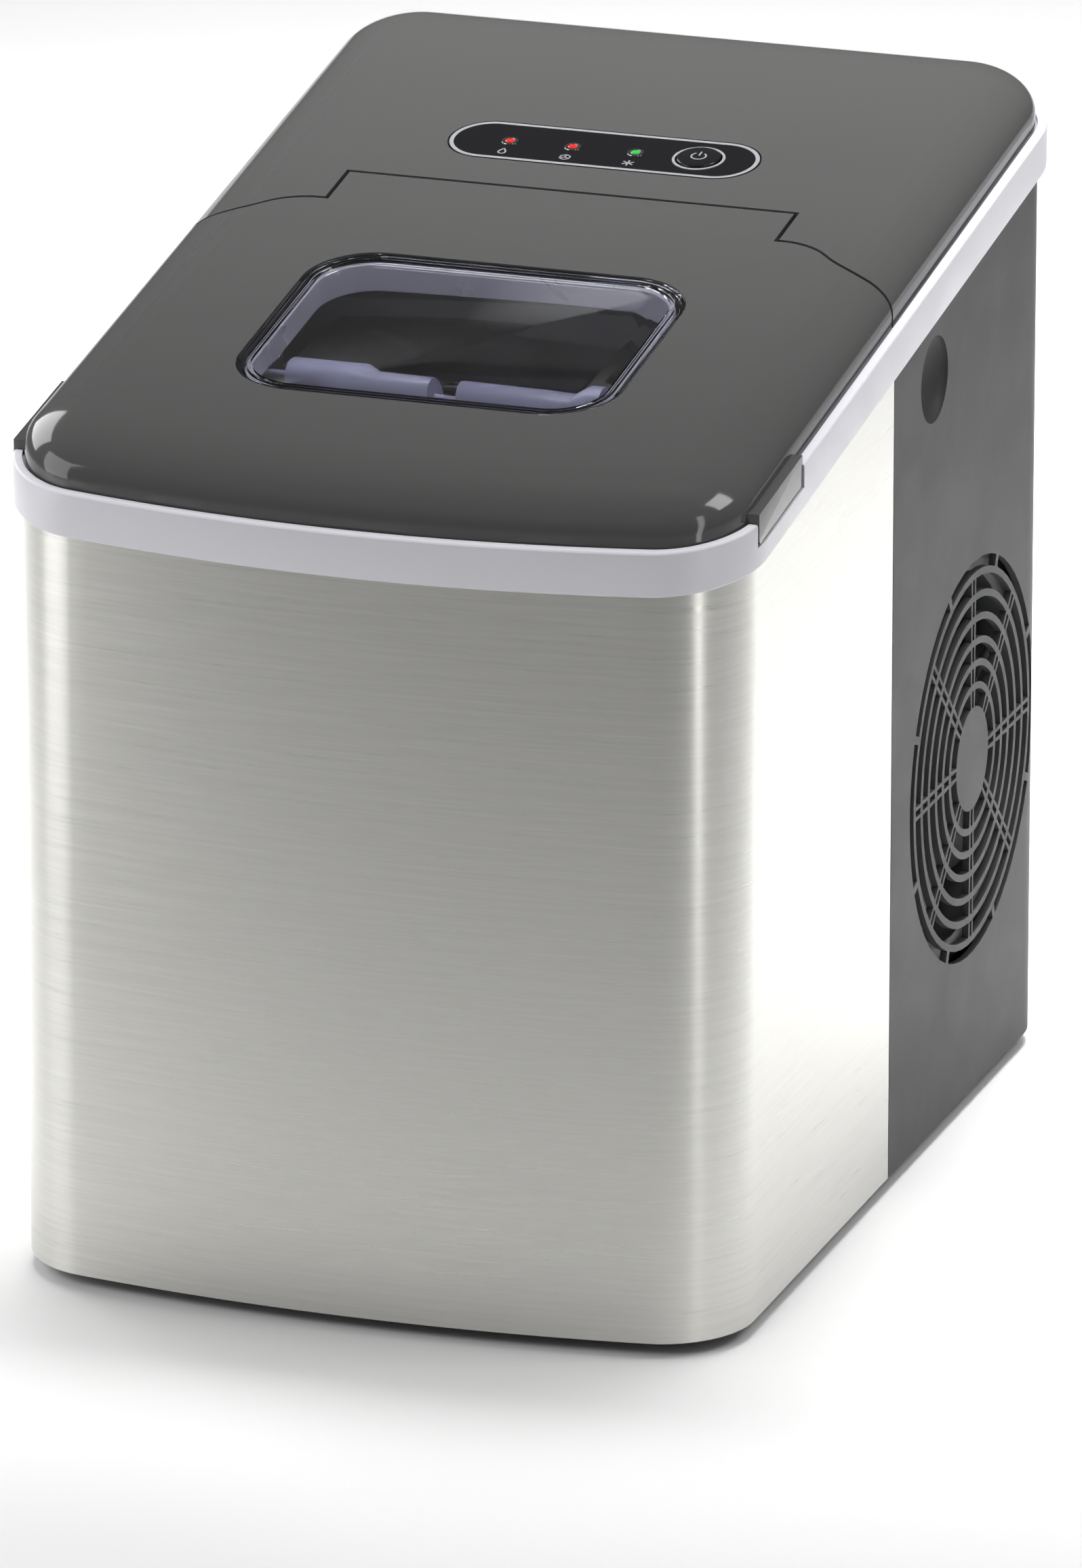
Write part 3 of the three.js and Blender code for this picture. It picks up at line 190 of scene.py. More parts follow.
def refined(node, edge, material, body, slot, steps=2):
    """Copies a CAD part, joins its loose triangles and rounds its sharp edges."""
    mesh = bmesh.new()
    mesh.from_mesh(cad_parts[node].data)
    bmesh.ops.remove_doubles(mesh, verts=mesh.verts, dist=WELD)
    bmesh.ops.dissolve_limit(
        mesh, angle_limit=math.radians(1), verts=mesh.verts, edges=mesh.edges
    )
    rounded(mesh, edge, steps)
    return placed(mesh, node + "_finished", [material], body, slot, node, crease=SHARP)


foot_rubber = moulded("foot rubber", RUBBER_BLACK, 0.7, 0.9, 1800, 0.00003)
for corner in ("front_left", "front_right", "back_left", "back_right"):
    refined("foot_" + corner, SMALL_EDGE, foot_rubber, "cabinet", "rubber_black")

# Steel wrap: one sheet of stainless steel, 0.8 mm thick, bent round the bowed front and
# both front corners, and brushed along its length. Its back edges meet the housing.
BODY_HALF = 0.118
BODY_FRONT = -0.176
BODY_BACK = 0.170
FRONT_CORNER = 0.0245
BACK_CORNER = 0.027
FRONT_BOW = 0.012
CORNER_STEPS = 16
BOW_STEPS = 32
TOP_SLOPE = math.tan(math.radians(9))
FRONT_HEIGHT = 0.245
SOCKET = 0.0046
WALL_FOOT = 0.005
SEAM = -0.003
STRAIGHT = 0.05
CLOSE = 1e-5
STEEL_WALL = 0.0008
STEEL_GREY = (0.62, 0.615, 0.585, 1)
FAR = 1.0


def bezel_low(y):
    """Height of the bezel's lower edge."""
    return FRONT_HEIGHT + (y - BODY_FRONT) * TOP_SLOPE


def wall_top(y):
    """Height of the outer walls, hidden in the bezel's socket."""
    return bezel_low(y) + SOCKET


def cut_corners(mesh, corners, radius, steps):
    """Rounds corners of a flat plan."""
    bmesh.ops.bevel(
        mesh,
        geom=corners,
        offset=radius,
        offset_type="OFFSET",
        segments=steps,
        profile=0.5,
        affect="VERTICES",
        material=-1,
    )


def flat_plan(x_half, front, back):
    """A new mesh with one flat face."""
    mesh = bmesh.new()
    bmesh.ops.create_grid(mesh, x_segments=1, y_segments=1, size=1)
    for corner in mesh.verts:
        corner.co.x *= x_half
        corner.co.y = front if corner.co.y < 0 else back
    return mesh


def body_plan(grow):
    """The machine's plan, grown by a distance: round corners and a bowed front."""
    front, back = BODY_FRONT - grow, BODY_BACK + grow
    mesh = flat_plan(BODY_HALF + grow, front, back)
    for at_back, radius in ((False, FRONT_CORNER), (True, BACK_CORNER)):
        corners = [corner for corner in mesh.verts if (corner.co.y > 0) == at_back]
        cut_corners(mesh, corners, radius + grow, CORNER_STEPS)
    straight = [
        line
        for line in mesh.edges
        if all(end.co.y < front + CLOSE for end in line.verts) and line.calc_length() > STRAIGHT
    ]
    bmesh.ops.subdivide_edges(mesh, edges=straight, cuts=BOW_STEPS)
    for point in mesh.verts:
        if point.co.y < 0:
            point.co.y += FRONT_BOW * (point.co.x / BODY_HALF) ** 2
    return mesh


def level(height):
    """A surface at one height."""
    return lambda y: height


def raised(mesh, low, high):
    """Raises a plan into a closed block between two surfaces."""
    plan = mesh.faces[:]
    made = bmesh.ops.extrude_face_region(mesh, geom=plan, use_keep_orig=True)["geom"]
    top = {part for part in made if isinstance(part, bmesh.types.BMVert)}
    for point in mesh.verts:
        point.co.z = (high if point in top else low)(point.co.y)
    bmesh.ops.recalc_face_normals(mesh, faces=mesh.faces)
    return mesh


def carved(body, tool, how="DIFFERENCE"):
    """The body with the tool's shape cut away from it, joined to it, or all that it keeps."""
    blanks = []
    for mesh in (body, tool):
        data = bpy.data.meshes.new("blank")
        mesh.to_mesh(data)
        mesh.free()
        blank = bpy.data.objects.new("blank", data)
        bpy.context.scene.collection.objects.link(blank)
        blanks.append(blank)
    cutting = blanks[0].modifiers.new("carve", "BOOLEAN")
    cutting.object = blanks[1]
    cutting.operation = how
    cutting.solver = "EXACT"
    result = bmesh.new()
    result.from_object(blanks[0], bpy.context.evaluated_depsgraph_get())
    for blank in blanks:
        data = blank.data
        bpy.data.objects.remove(blank)
        bpy.data.meshes.remove(data)
    return result


def slab(x, y, z):
    """A closed block from its ends along each axis."""
    mesh = bmesh.new()
    size = [end - start for start, end in (x, y, z)]
    middle = [(end + start) / 2 for start, end in (x, y, z)]
    shape = Matrix.Translation(middle) @ Matrix.Diagonal((*size, 1))
    bmesh.ops.create_cube(mesh, size=1, matrix=shape)
    return mesh


def brushed_lines():
    """Node group: fine brushing along a sheet, as colour, roughness and height."""
    group = bpy.data.node_groups.new("brushed lines", "ShaderNodeTree")
    sockets = group.interface
    sockets.new_socket("Vector", in_out="INPUT", socket_type="NodeSocketVector")
    sockets.new_socket("Colour", in_out="INPUT", socket_type="NodeSocketColor")
    for name in ("Smooth", "Rough", "Line Scale"):
        sockets.new_socket(name, in_out="INPUT", socket_type="NodeSocketFloat")
    sockets.new_socket("Colour", in_out="OUTPUT", socket_type="NodeSocketColor")
    sockets.new_socket("Roughness", in_out="OUTPUT", socket_type="NodeSocketFloat")
    sockets.new_socket("Height", in_out="OUTPUT", socket_type="NodeSocketFloat")
    nodes, link = group.nodes, group.links.new
    given, out = nodes.new("NodeGroupInput"), nodes.new("NodeGroupOutput")
    along = nodes.new("ShaderNodeMapping")
    along.inputs["Scale"].default_value = (1, 1, 42)
    link(given.outputs["Vector"], along.inputs["Vector"])
    lines = nodes.new("ShaderNodeTexNoise")
    lines.inputs["Detail"].default_value = 8
    lines.inputs["Roughness"].default_value = 0.72
    link(along.outputs["Vector"], lines.inputs["Vector"])
    link(given.outputs["Line Scale"], lines.inputs["Scale"])
    spread = nodes.new("ShaderNodeMapRange")
    spread.inputs["From Min"].default_value = 0.32
    spread.inputs["From Max"].default_value = 0.68
    link(lines.outputs["Fac"], spread.inputs["Value"])
    shade = nodes.new("ShaderNodeMix")
    shade.data_type = "RGBA"
    shade.blend_type = "MULTIPLY"
    shade.inputs["Factor"].default_value = 1
    ramp = nodes.new("ShaderNodeValToRGB")
    ramp.color_ramp.elements[0].color = (0.86, 0.86, 0.855, 1)
    ramp.color_ramp.elements[1].color = (1, 1, 1, 1)
    link(spread.outputs["Result"], ramp.inputs["Fac"])
    link(given.outputs["Colour"], shade.inputs["A"])
    link(ramp.outputs["Color"], shade.inputs["B"])
    link(shade.outputs["Result"], out.inputs["Colour"])
    gloss = nodes.new("ShaderNodeMapRange")
    link(spread.outputs["Result"], gloss.inputs["Value"])
    link(given.outputs["Smooth"], gloss.inputs["To Min"])
    link(given.outputs["Rough"], gloss.inputs["To Max"])
    link(gloss.outputs["Result"], out.inputs["Roughness"])
    link(spread.outputs["Result"], out.inputs["Height"])
    return group


brushing = brushed_lines()


def brushed(name, colour, smooth, rough, line_scale, depth, anisotropy):
    """A brushed metal whose lines run level round the upright axis."""
    material = bpy.data.materials.new(name)
    material.use_nodes = True
    nodes, link = material.node_tree.nodes, material.node_tree.links.new
    shader = nodes["Principled BSDF"]
    shader.inputs["Metallic"].default_value = 1
    shader.inputs["Anisotropic"].default_value = anisotropy
    place = nodes.new("ShaderNodeTexCoord")
    surface = nodes.new("ShaderNodeGroup")
    surface.node_tree = brushing
    surface.inputs["Colour"].default_value = colour
    surface.inputs["Smooth"].default_value = smooth
    surface.inputs["Rough"].default_value = rough
    surface.inputs["Line Scale"].default_value = line_scale
    link(place.outputs["Object"], surface.inputs["Vector"])
    link(surface.outputs["Colour"], shader.inputs["Base Color"])
    link(surface.outputs["Roughness"], shader.inputs["Roughness"])
    bump = nodes.new("ShaderNodeBump")
    bump.inputs["Strength"].default_value = 0.5
    bump.inputs["Distance"].default_value = depth
    link(surface.outputs["Height"], bump.inputs["Height"])
    link(bump.outputs["Normal"], shader.inputs["Normal"])
    if anisotropy:
        level_lines = nodes.new("ShaderNodeTangent")
        level_lines.direction_type = "RADIAL"
        level_lines.axis = "Z"
        link(level_lines.outputs["Tangent"], shader.inputs["Tangent"])
        shader.inputs["Anisotropic Rotation"].default_value = 0.25
    return material


steel = raised(body_plan(0), level(WALL_FOOT), wall_top)
hollow = raised(body_plan(-STEEL_WALL), level(0), level(FAR))
steel = carved(steel, hollow)
steel = carved(steel, slab((-FAR, FAR), (-FAR, SEAM), (-FAR, FAR)), "INTERSECT")
brushed_steel = brushed("brushed steel", STEEL_GREY, 0.26, 0.38, 22, 0.000012, 0.7)
placed(steel, "steel_front", [brushed_steel], "cabinet", "brushed_steel", "steel_wrap")

# Rear housing: the dark grey moulding behind the seam, with a fan grille and a finger
# recess in each side, slots and two wall stops in the back, and holes for its fittings.
HOUSING_GAP = 0.0006
HOUSING_WALL = 0.0022
HOUSING_GREY = (0.056, 0.056, 0.055, 1)
GRILLE_Y = 0.083
GRILLE_Z = 0.118
GRILLE_RINGS = (0.017, 0.0238, 0.0312, 0.0385, 0.0462, 0.0536, 0.0610, 0.0672)
RING_BAR = 0.0023
SPOKES = 8
SPOKE_HALF = 0.0023
SPOKE_GAP_HALF = 0.0010
RECESS_Y = 0.039
RECESS_Z = bezel_low(RECESS_Y) - 0.022
RECESS_RADIUS = 0.014
RECESS_DEPTH = 0.006
DISH_WALL = 0.002
STOP_X = 0.07
STOP_HALF = 0.009
STOP_BACK = 0.179
STOP_Z = (0.236, 0.262)
STOP_EDGE = 0.002
VENT_ROWS = 5
VENT_LOW = 0.148
VENT_PITCH = 0.011
VENT_HALF = 0.064
VENT_HIGH = 0.004
VENT_END = 0.0019
SCREW_HOLE = (0.07, 0.0115, 0.0023)
DRAIN_HOLE = (0.08, 0.044, 0.0074)
CORD_HOLE = (-0.08, 0.034, 0.0074)
CUT_IN = 0.006
CUT_OUT = 0.004
SLOT_STEPS = 7
RIM_MARGIN = 0.6 * RING_BAR


def ring_slot(inner, outer, start, end, x):
    """One slot of the grille: part of a ring round the X axis, from one angle to another."""
    mesh = bmesh.new()
    corners = [(x[0], inner), (x[1], inner), (x[1], outer), (x[0], outer)]
    face = mesh.faces.new([mesh.verts.new((across, 0, up)) for across, up in corners])
    bmesh.ops.rotate(mesh, verts=mesh.verts, matrix=Matrix.Rotation(start, 3, "X"))
    bmesh.ops.spin(
        mesh,
        geom=[face, *face.edges, *face.verts],
        axis=(1, 0, 0),
        cent=(0, 0, 0),
        angle=end - start,
        steps=SLOT_STEPS,
        use_duplicate=False,
    )
    bmesh.ops.holes_fill(mesh, edges=[line for line in mesh.edges if line.is_boundary])
    bmesh.ops.recalc_face_normals(mesh, faces=mesh.faces)
    return mesh


def gathered(meshes):
    """Several closed meshes as one."""
    whole = bmesh.new()
    for mesh in meshes:
        data = bpy.data.meshes.new("part")
        mesh.to_mesh(data)
        mesh.free()
        whole.from_mesh(data)
        bpy.data.meshes.remove(data)
    return whole


def grille_cutters(side):
    """The slots of one side's grille, and the thin gaps between each pair of spoke bars."""
    x = sorted((side * (BODY_HALF - CUT_IN), side * (BODY_HALF + CUT_OUT)))
    turn = math.tau / SPOKES
    cutters = []
    for ring, (hub, rim) in enumerate(zip(GRILLE_RINGS, GRILLE_RINGS[1:])):
        inner = hub + (RING_BAR / 2 if ring else 0)
        outer = rim - RING_BAR / 2
        last = ring == len(GRILLE_RINGS) - 2
        margin = RIM_MARGIN / outer if last else SPOKE_HALF / ((inner + outer) / 2)
        offset = turn / 2 if last else 0
        for spoke in range(SPOKES):
            start = spoke * turn + offset
            slot = ring_slot(inner, outer, start + margin, start + turn - margin, x)
            cutters.append(slot)
            if not last:
                gap = slab(x, (-SPOKE_GAP_HALF, SPOKE_GAP_HALF), (inner, outer))
                spin = Matrix.Rotation(spoke * turn, 3, "X")
                bmesh.ops.rotate(gap, verts=gap.verts, matrix=spin)
                cutters.append(gap)
    whole = gathered(cutters)
    bmesh.ops.translate(whole, verts=whole.verts, vec=(0, GRILLE_Y, GRILLE_Z))
    return whole


def dish(side, radius, depth):
    """A shallow round dish, lying on its side in the wall."""
    mesh = bmesh.new()
    bmesh.ops.create_uvsphere(mesh, u_segments=40, v_segments=24, radius=1)
    shape = Matrix.Diagonal((depth, radius, radius, 1))
    place = Matrix.Translation((side * BODY_HALF, RECESS_Y, RECESS_Z))
    bmesh.ops.transform(mesh, matrix=place @ shape, verts=mesh.verts)
    return mesh


def rod(start, end, radius, segments=32):
    """A closed round bar between two points."""
    start, end = Vector(start), Vector(end)
    mesh = bmesh.new()
    turn = (end - start).to_track_quat("Z", "Y").to_matrix().to_4x4()
    bmesh.ops.create_cone(
        mesh,
        cap_ends=True,
        segments=segments,
        radius1=radius,
        radius2=radius,
        depth=(end - start).length,
        matrix=Matrix.Translation((start + end) / 2) @ turn,
    )
    return mesh


housing = raised(body_plan(0), level(WALL_FOOT), wall_top)
hollow = raised(body_plan(-HOUSING_WALL), level(0), level(FAR))
housing = carved(housing, hollow)
behind_seam = slab((-FAR, FAR), (SEAM + HOUSING_GAP, FAR), (-FAR, FAR))
housing = carved(housing, behind_seam, "INTERSECT")
cups = [dish(side, RECESS_RADIUS + DISH_WALL, RECESS_DEPTH + DISH_WALL) for side in (-1, 1)]
inside = raised(body_plan(-0.0005), level(0.01), wall_top)
housing = carved(housing, carved(gathered(cups), inside, "INTERSECT"), "UNION")
stops = []
for side in (-1, 1):
    x = (side * STOP_X - STOP_HALF, side * STOP_X + STOP_HALF)
    stop = slab(x, (BODY_BACK - 0.001, STOP_BACK), STOP_Z)
    stops.append(rounded(stop, STOP_EDGE, 4))
housing = carved(housing, gathered(stops), "UNION")
openings = [grille_cutters(-1), grille_cutters(1)]
openings += [dish(side, RECESS_RADIUS, RECESS_DEPTH) for side in (-1, 1)]
for row in range(VENT_ROWS):
    low = VENT_LOW + row * VENT_PITCH
    through = (BODY_BACK - 0.004, BODY_BACK + 0.001)
    vent = slab((-VENT_HALF, VENT_HALF), through, (low, low + VENT_HIGH))
    ends = [line for line in vent.edges if abs(line.verts[0].co.y - line.verts[1].co.y) > 0.004]
    bmesh.ops.bevel(
        vent, geom=ends, offset=VENT_END, segments=5, profile=0.5, affect="EDGES", material=-1
    )
    openings.append(vent)
screw_x, screw_z, screw_radius = SCREW_HOLE
left_screw = (-screw_x, screw_z, screw_radius)
for x, z, radius in (SCREW_HOLE, left_screw, DRAIN_HOLE, CORD_HOLE):
    openings.append(rod((x, BODY_BACK - 0.005, z), (x, BODY_BACK + 0.001, z), radius))
housing = carved(housing, gathered(openings))
housing_grey = moulded("housing grey", HOUSING_GREY, 0.5, 0.56, 2600, 0.000035, 0.04)
housing_shader = housing_grey.node_tree.nodes["Principled BSDF"]
housing_shader.inputs["Specular IOR Level"].default_value = 0.2
placed(housing, "rear_shell", [housing_grey], "cabinet", "housing_plastic", "rear_housing")

# Bezel: a satin white ring that caps the walls. The steel and the housing stand in a
# socket under it, and the lid and rear cover sit in a step on top.
BEZEL_GROW = 0.003
BEZEL_HEIGHT = 0.0142
BEZEL_STEP = 0.0015
BEZEL_FLANGE = 0.014
BEZEL_EDGE = 0.0009
TAB_FRONT = BODY_FRONT + 0.031
TAB_BACK = BODY_FRONT + 0.073
TAB_DROP = 0.007
TAB_IN = 0.1156
TAB_OUT = 0.1205
TAB_GAP = 0.0004
SOCKET_GAP = 0.0004
SOCKET_DEEP = 0.005
BEZEL_WHITE = (0.62, 0.62, 0.66, 1)


def above(surface, rise):
    """A surface moved up by a distance."""
    return lambda y: surface(y) + rise


bezel_top = above(bezel_low, BEZEL_HEIGHT)
bezel = raised(body_plan(BEZEL_GROW), bezel_low, bezel_top)
rounded(bezel, BEZEL_EDGE, 4)
socket = raised(body_plan(SOCKET_GAP), above(bezel_low, -0.001), above(bezel_low, SOCKET_DEEP))
bezel = carved(bezel, socket)
bezel = carved(bezel, raised(body_plan(0), above(bezel_top, -BEZEL_STEP), above(bezel_top, 0.01)))
bezel = carved(bezel, raised(body_plan(-BEZEL_FLANGE), above(bezel_low, -0.01), level(FAR)))
notches = []
for side in (-1, 1):
    x = sorted((side * (TAB_IN - TAB_GAP), side * FAR))
    notch = flat_plan(1, TAB_FRONT - TAB_GAP, TAB_BACK + TAB_GAP)
    for corner in notch.verts:
        corner.co.x = x[corner.co.x > 0]
    notch = raised(notch, above(bezel_top, -TAB_DROP - TAB_GAP), above(bezel_top, 0.01))
    notches.append(notch)
bezel = carved(bezel, gathered(notches))
bezel_white = moulded("bezel white", BEZEL_WHITE, 0.3, 0.42, 1600, 0.00001, 0.04)
placed(bezel, "white_bezel", [bezel_white], "cabinet", "bezel_white", "bezel")

# Lid and rear cover: one polished dark grey dome, split by a parting line that steps
# back round the tongue of the lid. Both are 2.2 mm shells that sit in the bezel.
CROWN_INSET = 0.0008
CROWN_SIDE = 0.003
CROWN_RUN = 0.024
CROWN_RISE = 0.014
CROWN_STEPS = 16
CROWN_HEIGHT = CROWN_SIDE + CROWN_RISE
SHELL_WALL = 0.0022
PARTING_HALF = 0.0007
PARTING_SIDE = BODY_FRONT + 0.173
SHOULDER = BODY_FRONT + 0.1875
TONGUE_BACK = BODY_FRONT + 0.208
TONGUE_HALF = 0.0745
BEND_OUT = 0.1005
BEND_IN = 0.0855
SHELL_EDGE = 0.0004
COVER_GREY = (0.074, 0.074, 0.073, 1)
WINDOW_FRONT = BODY_FRONT + 0.053
WINDOW_BACK = BODY_FRONT + 0.153
WINDOW_HALF = 0.0625
WINDOW_CORNER = 0.022
TAB_CORNER = 0.0025
BEND_RADIUS = 0.008
CROWN_FLAT = 0.001
HINGE_Y = 0.020
HINGE_DROP = 0.004
BOSS_RADIUS = 0.0034
PIN_HOLE = 0.0019
LID_BOSS = (0.0615, 0.0738)
LID_HOLE = (0.0645, 0.098)
COVER_BOSS = (0.0752, 0.0845)
COVER_HOLE = (0.06, 0.083)
PANEL_Y = 0.064
PANEL_HALF_LENGTH = 0.0515
PANEL_HALF_WIDTH = 0.0135
PANEL_THICKNESS = 0.001
PANEL_GAP = 0.0003
LAMPS_X = (-0.0315, -0.0105, 0.0105)
BUTTON_X = 0.0315
LAMP_HOLE = 0.0025
BUTTON_HOLE = 0.0076
crown_top = above(bezel_top, CROWN_HEIGHT)
HINGE_Z = crown_top(HINGE_Y) - HINGE_DROP


def dome(wall):
    """The closed dome over the bezel, or the room under a shell of a wall's thickness."""
    mesh = body_plan(-CROWN_INSET - wall)
    top = mesh.faces[:]
    made = bmesh.ops.extrude_face_region(mesh, geom=top, use_keep_orig=True)["geom"]
    for part in made:
        if isinstance(part, bmesh.types.BMVert):
            part.co.z = CROWN_SIDE
    foot = -BEZEL_STEP + 0.0003 - (0.01 if wall else 0)
    for point in mesh.verts:
        if point.co.z < CROWN_SIDE / 2:
            point.co.z = foot
    cap = [part for part in made if isinstance(part, bmesh.types.BMFace)]
    run, rise = CROWN_RUN - wall, CROWN_RISE - wall
    for step in range(CROWN_STEPS):
        start, end = (math.pi / 2 * share / CROWN_STEPS for share in (step, step + 1))
        bmesh.ops.inset_region(
            mesh,
            faces=cap,
            thickness=run * (math.cos(start) - math.cos(end)),
            depth=0,
            use_even_offset=True,
        )
        for point in cap[0].verts:
            point.co.z = CROWN_SIDE + rise * math.sin(end)
    bmesh.ops.inset_region(mesh, faces=cap, thickness=CROWN_FLAT, depth=0, use_even_offset=True)
    for point in mesh.verts:
        point.co.z += bezel_top(point.co.y)
    bmesh.ops.recalc_face_normals(mesh, faces=mesh.faces)
    return mesh


def lid_block(shift):
    """Everything in front of the parting line, moved back by a shift."""
    mesh = bmesh.new()
    right = [
        (0.2, -0.3),
        (0.2, PARTING_SIDE + shift),
        (BEND_OUT, PARTING_SIDE + shift),
        (BEND_IN, SHOULDER + shift),
        (TONGUE_HALF + shift, SHOULDER + shift),
        (TONGUE_HALF + shift, TONGUE_BACK + shift),
    ]
    outline = right + [(-x, y) for x, y in reversed(right)]
    mesh.faces.new([mesh.verts.new((x, y, 0)) for x, y in outline])
    bends = [point for point in mesh.verts if BEND_IN - 1e-4 < abs(point.co.x) < BEND_OUT + 1e-4]
    cut_corners(mesh, bends, BEND_RADIUS, 8)
    return raised(mesh, level(0), level(FAR))


def window_plan(grow):
    """The window's plan, a rectangle with large round corners, grown by a distance."""
    mesh = flat_plan(WINDOW_HALF + grow, WINDOW_FRONT - grow, WINDOW_BACK + grow)
    cut_corners(mesh, mesh.verts[:], WINDOW_CORNER + grow, 16)
    return mesh


def hinge_bars(ends, radius):
    """A round bar on the hinge line at each side, between two distances from the middle."""
    bars = []
    for side in (-1, 1):
        start, end = sorted(side * reach for reach in ends)
        bars.append(rod((start, HINGE_Y, HINGE_Z), (end, HINGE_Y, HINGE_Z), radius))
    return gathered(bars)


def finger_tab(side):
    """The lip at one side that a fingertip lifts, with round lower corners."""
    x = sorted((side * TAB_IN, side * TAB_OUT))
    low, high = bezel_top(TAB_FRONT) - TAB_DROP, bezel_top(TAB_FRONT) + CROWN_SIDE
    tab = slab(x, (TAB_FRONT, TAB_BACK), (low, high))
    corners = [
        line
        for line in tab.edges
        if all(end.co.z < low + 1e-5 for end in line.verts)
        and abs(line.verts[0].co.y - line.verts[1].co.y) < 1e-6
    ]
    bmesh.ops.bevel(
        tab,
        geom=corners,
        offset=TAB_CORNER,
        segments=6,
        profile=0.5,
        affect="EDGES",
        material=-1,
    )
    for point in tab.verts:
        point.co.z += (point.co.y - TAB_FRONT) * TOP_SLOPE
    return tab


def stadium(grow):
    """The control panel's plan: two half circles joined by straight sides."""
    reach = PANEL_HALF_WIDTH + grow
    mesh = flat_plan(PANEL_HALF_LENGTH + grow, PANEL_Y - reach, PANEL_Y + reach)
    cut_corners(mesh, mesh.verts[:], reach - 0.0002, 20)
    return mesh


def upright(x, radius, segments=32):
    """A tall round bar through the panel."""
    return rod((x, PANEL_Y, 0.25), (x, PANEL_Y, 0.35), radius, segments)


def control_holes():
    """The holes for the three lamps and the button."""
    holes = [upright(x, LAMP_HOLE) for x in LAMPS_X]
    return gathered([*holes, upright(BUTTON_X, BUTTON_HOLE, 48)])


shell = carved(dome(0), dome(SHELL_WALL))
lid = carved(shell.copy(), lid_block(-PARTING_HALF), "INTERSECT")
cover = carved(shell, lid_block(PARTING_HALF))
lid = carved(lid, hinge_bars(LID_BOSS, BOSS_RADIUS), "UNION")
lid = carved(lid, hinge_bars(LID_HOLE, PIN_HOLE))
lid = carved(lid, gathered([finger_tab(side) for side in (-1, 1)]), "UNION")
lid = carved(lid, raised(window_plan(0), level(0), level(FAR)))
cover = carved(cover, hinge_bars(COVER_BOSS, BOSS_RADIUS), "UNION")
cover = carved(cover, hinge_bars(COVER_HOLE, PIN_HOLE))
cover = carved(
    cover, raised(stadium(PANEL_GAP), above(crown_top, -PANEL_THICKNESS - PANEL_GAP), level(FAR))
)
cover = carved(cover, control_holes())
rounded(lid, SHELL_EDGE)
cover_gloss = moulded("cover gloss", COVER_GREY, 0.06, 0.12, 900, 0.000004, 0.06)
placed(lid, "lid_shell", [cover_gloss], "lid", "cover_gloss", "lid_frame")
rounded(cover, SHELL_EDGE)
placed(cover, "rear_cover_shell", [cover_gloss], "cabinet", "cover_gloss", "rear_cover")

# Window: a moulded pane with a faint violet tint, ridged round its edge, and a milky
# skirt under it that keeps drips off the lid. A flange holds it under the shell.
WINDOW_TINT = (0.93, 0.935, 0.975, 1)
PANE_GAP = 0.0004
SKIRT_LAVENDER = (0.72, 0.72, 0.84, 1)
PANE_TOP = -0.0003
PANE_LOW = -0.0042
FLANGE_TOP = -0.0025
FLANGE_GROW = 0.005
SKIRT_LOW = -0.0131
SKIRT_INSET = 0.003
SKIRT_WALL = 0.002
RIDGES = ((0.0012, 0.0006), (0.0030, 0.0005), (0.0046, 0.0005))
RIDGE_DEPTH = 0.0011


def band(outer, wall, low, high):
    """A closed band that follows the window's outline, of a wall's thickness."""
    ring = raised(window_plan(outer), low, high)
    return carved(ring, raised(window_plan(outer - wall), above(low, -0.001), above(high, 0.001)))


def let_through(material, share):
    """Lets a share of the light through a moulded material."""
    shader = material.node_tree.nodes["Principled BSDF"]
    shader.inputs["Transmission Weight"].default_value = share


pane = raised(window_plan(-PANE_GAP), above(crown_top, PANE_LOW), above(crown_top, PANE_TOP))
flange = raised(
    window_plan(FLANGE_GROW), above(crown_top, PANE_LOW), above(crown_top, FLANGE_TOP)
)
pane = carved(pane, flange, "UNION")
for inset, width in RIDGES:
    groove = above(crown_top, PANE_TOP - RIDGE_DEPTH)
    pane = carved(pane, band(-inset, width, groove, above(crown_top, 0.001)))
rounded(pane, FINE_EDGE)
window_clear = bpy.data.materials.new("window clear")
window_clear.use_nodes = True
clear = window_clear.node_tree.nodes["Principled BSDF"]
clear.inputs["Base Color"].default_value = WINDOW_TINT
clear.inputs["Transmission Weight"].default_value = 1
clear.inputs["IOR"].default_value = 1.49
place_on_pane = window_clear.node_tree.nodes.new("ShaderNodeTexCoord")
polish = window_clear.node_tree.nodes.new("ShaderNodeGroup")
polish.node_tree = moulding
polish.inputs["Smooth"].default_value = 0.01
polish.inputs["Rough"].default_value = 0.05
window_clear.node_tree.links.new(place_on_pane.outputs["Object"], polish.inputs["Vector"])
window_clear.node_tree.links.new(polish.outputs["Roughness"], clear.inputs["Roughness"])
placed(pane, "window_pane", [window_clear], "lid", "window_clear", "lid_window")
skirt = band(-SKIRT_INSET, SKIRT_WALL, above(crown_top, SKIRT_LOW), above(crown_top, PANE_LOW))
rounded(skirt, FINE_EDGE)
skirt_milky = moulded("skirt milky", SKIRT_LAVENDER, 0.25, 0.35, 1500, 0.00001, 0.15)
let_through(skirt_milky, 0.25)
placed(skirt, "window_skirt", [skirt_milky], "lid", "window_clear")

# Hinge pins: two turned steel pins that join the lid's bosses to those of the cover.
# They are pressed into the cover and run free in the lid.
PIN_STEEL = (0.55, 0.55, 0.56, 1)
pin_steel = brushed("pin steel", PIN_STEEL, 0.2, 0.34, 60, 0.000004, 0)
for side in ("left", "right"):
    refined("hinge_pin_" + side, 0.0002, pin_steel, "cabinet", "pin_steel")

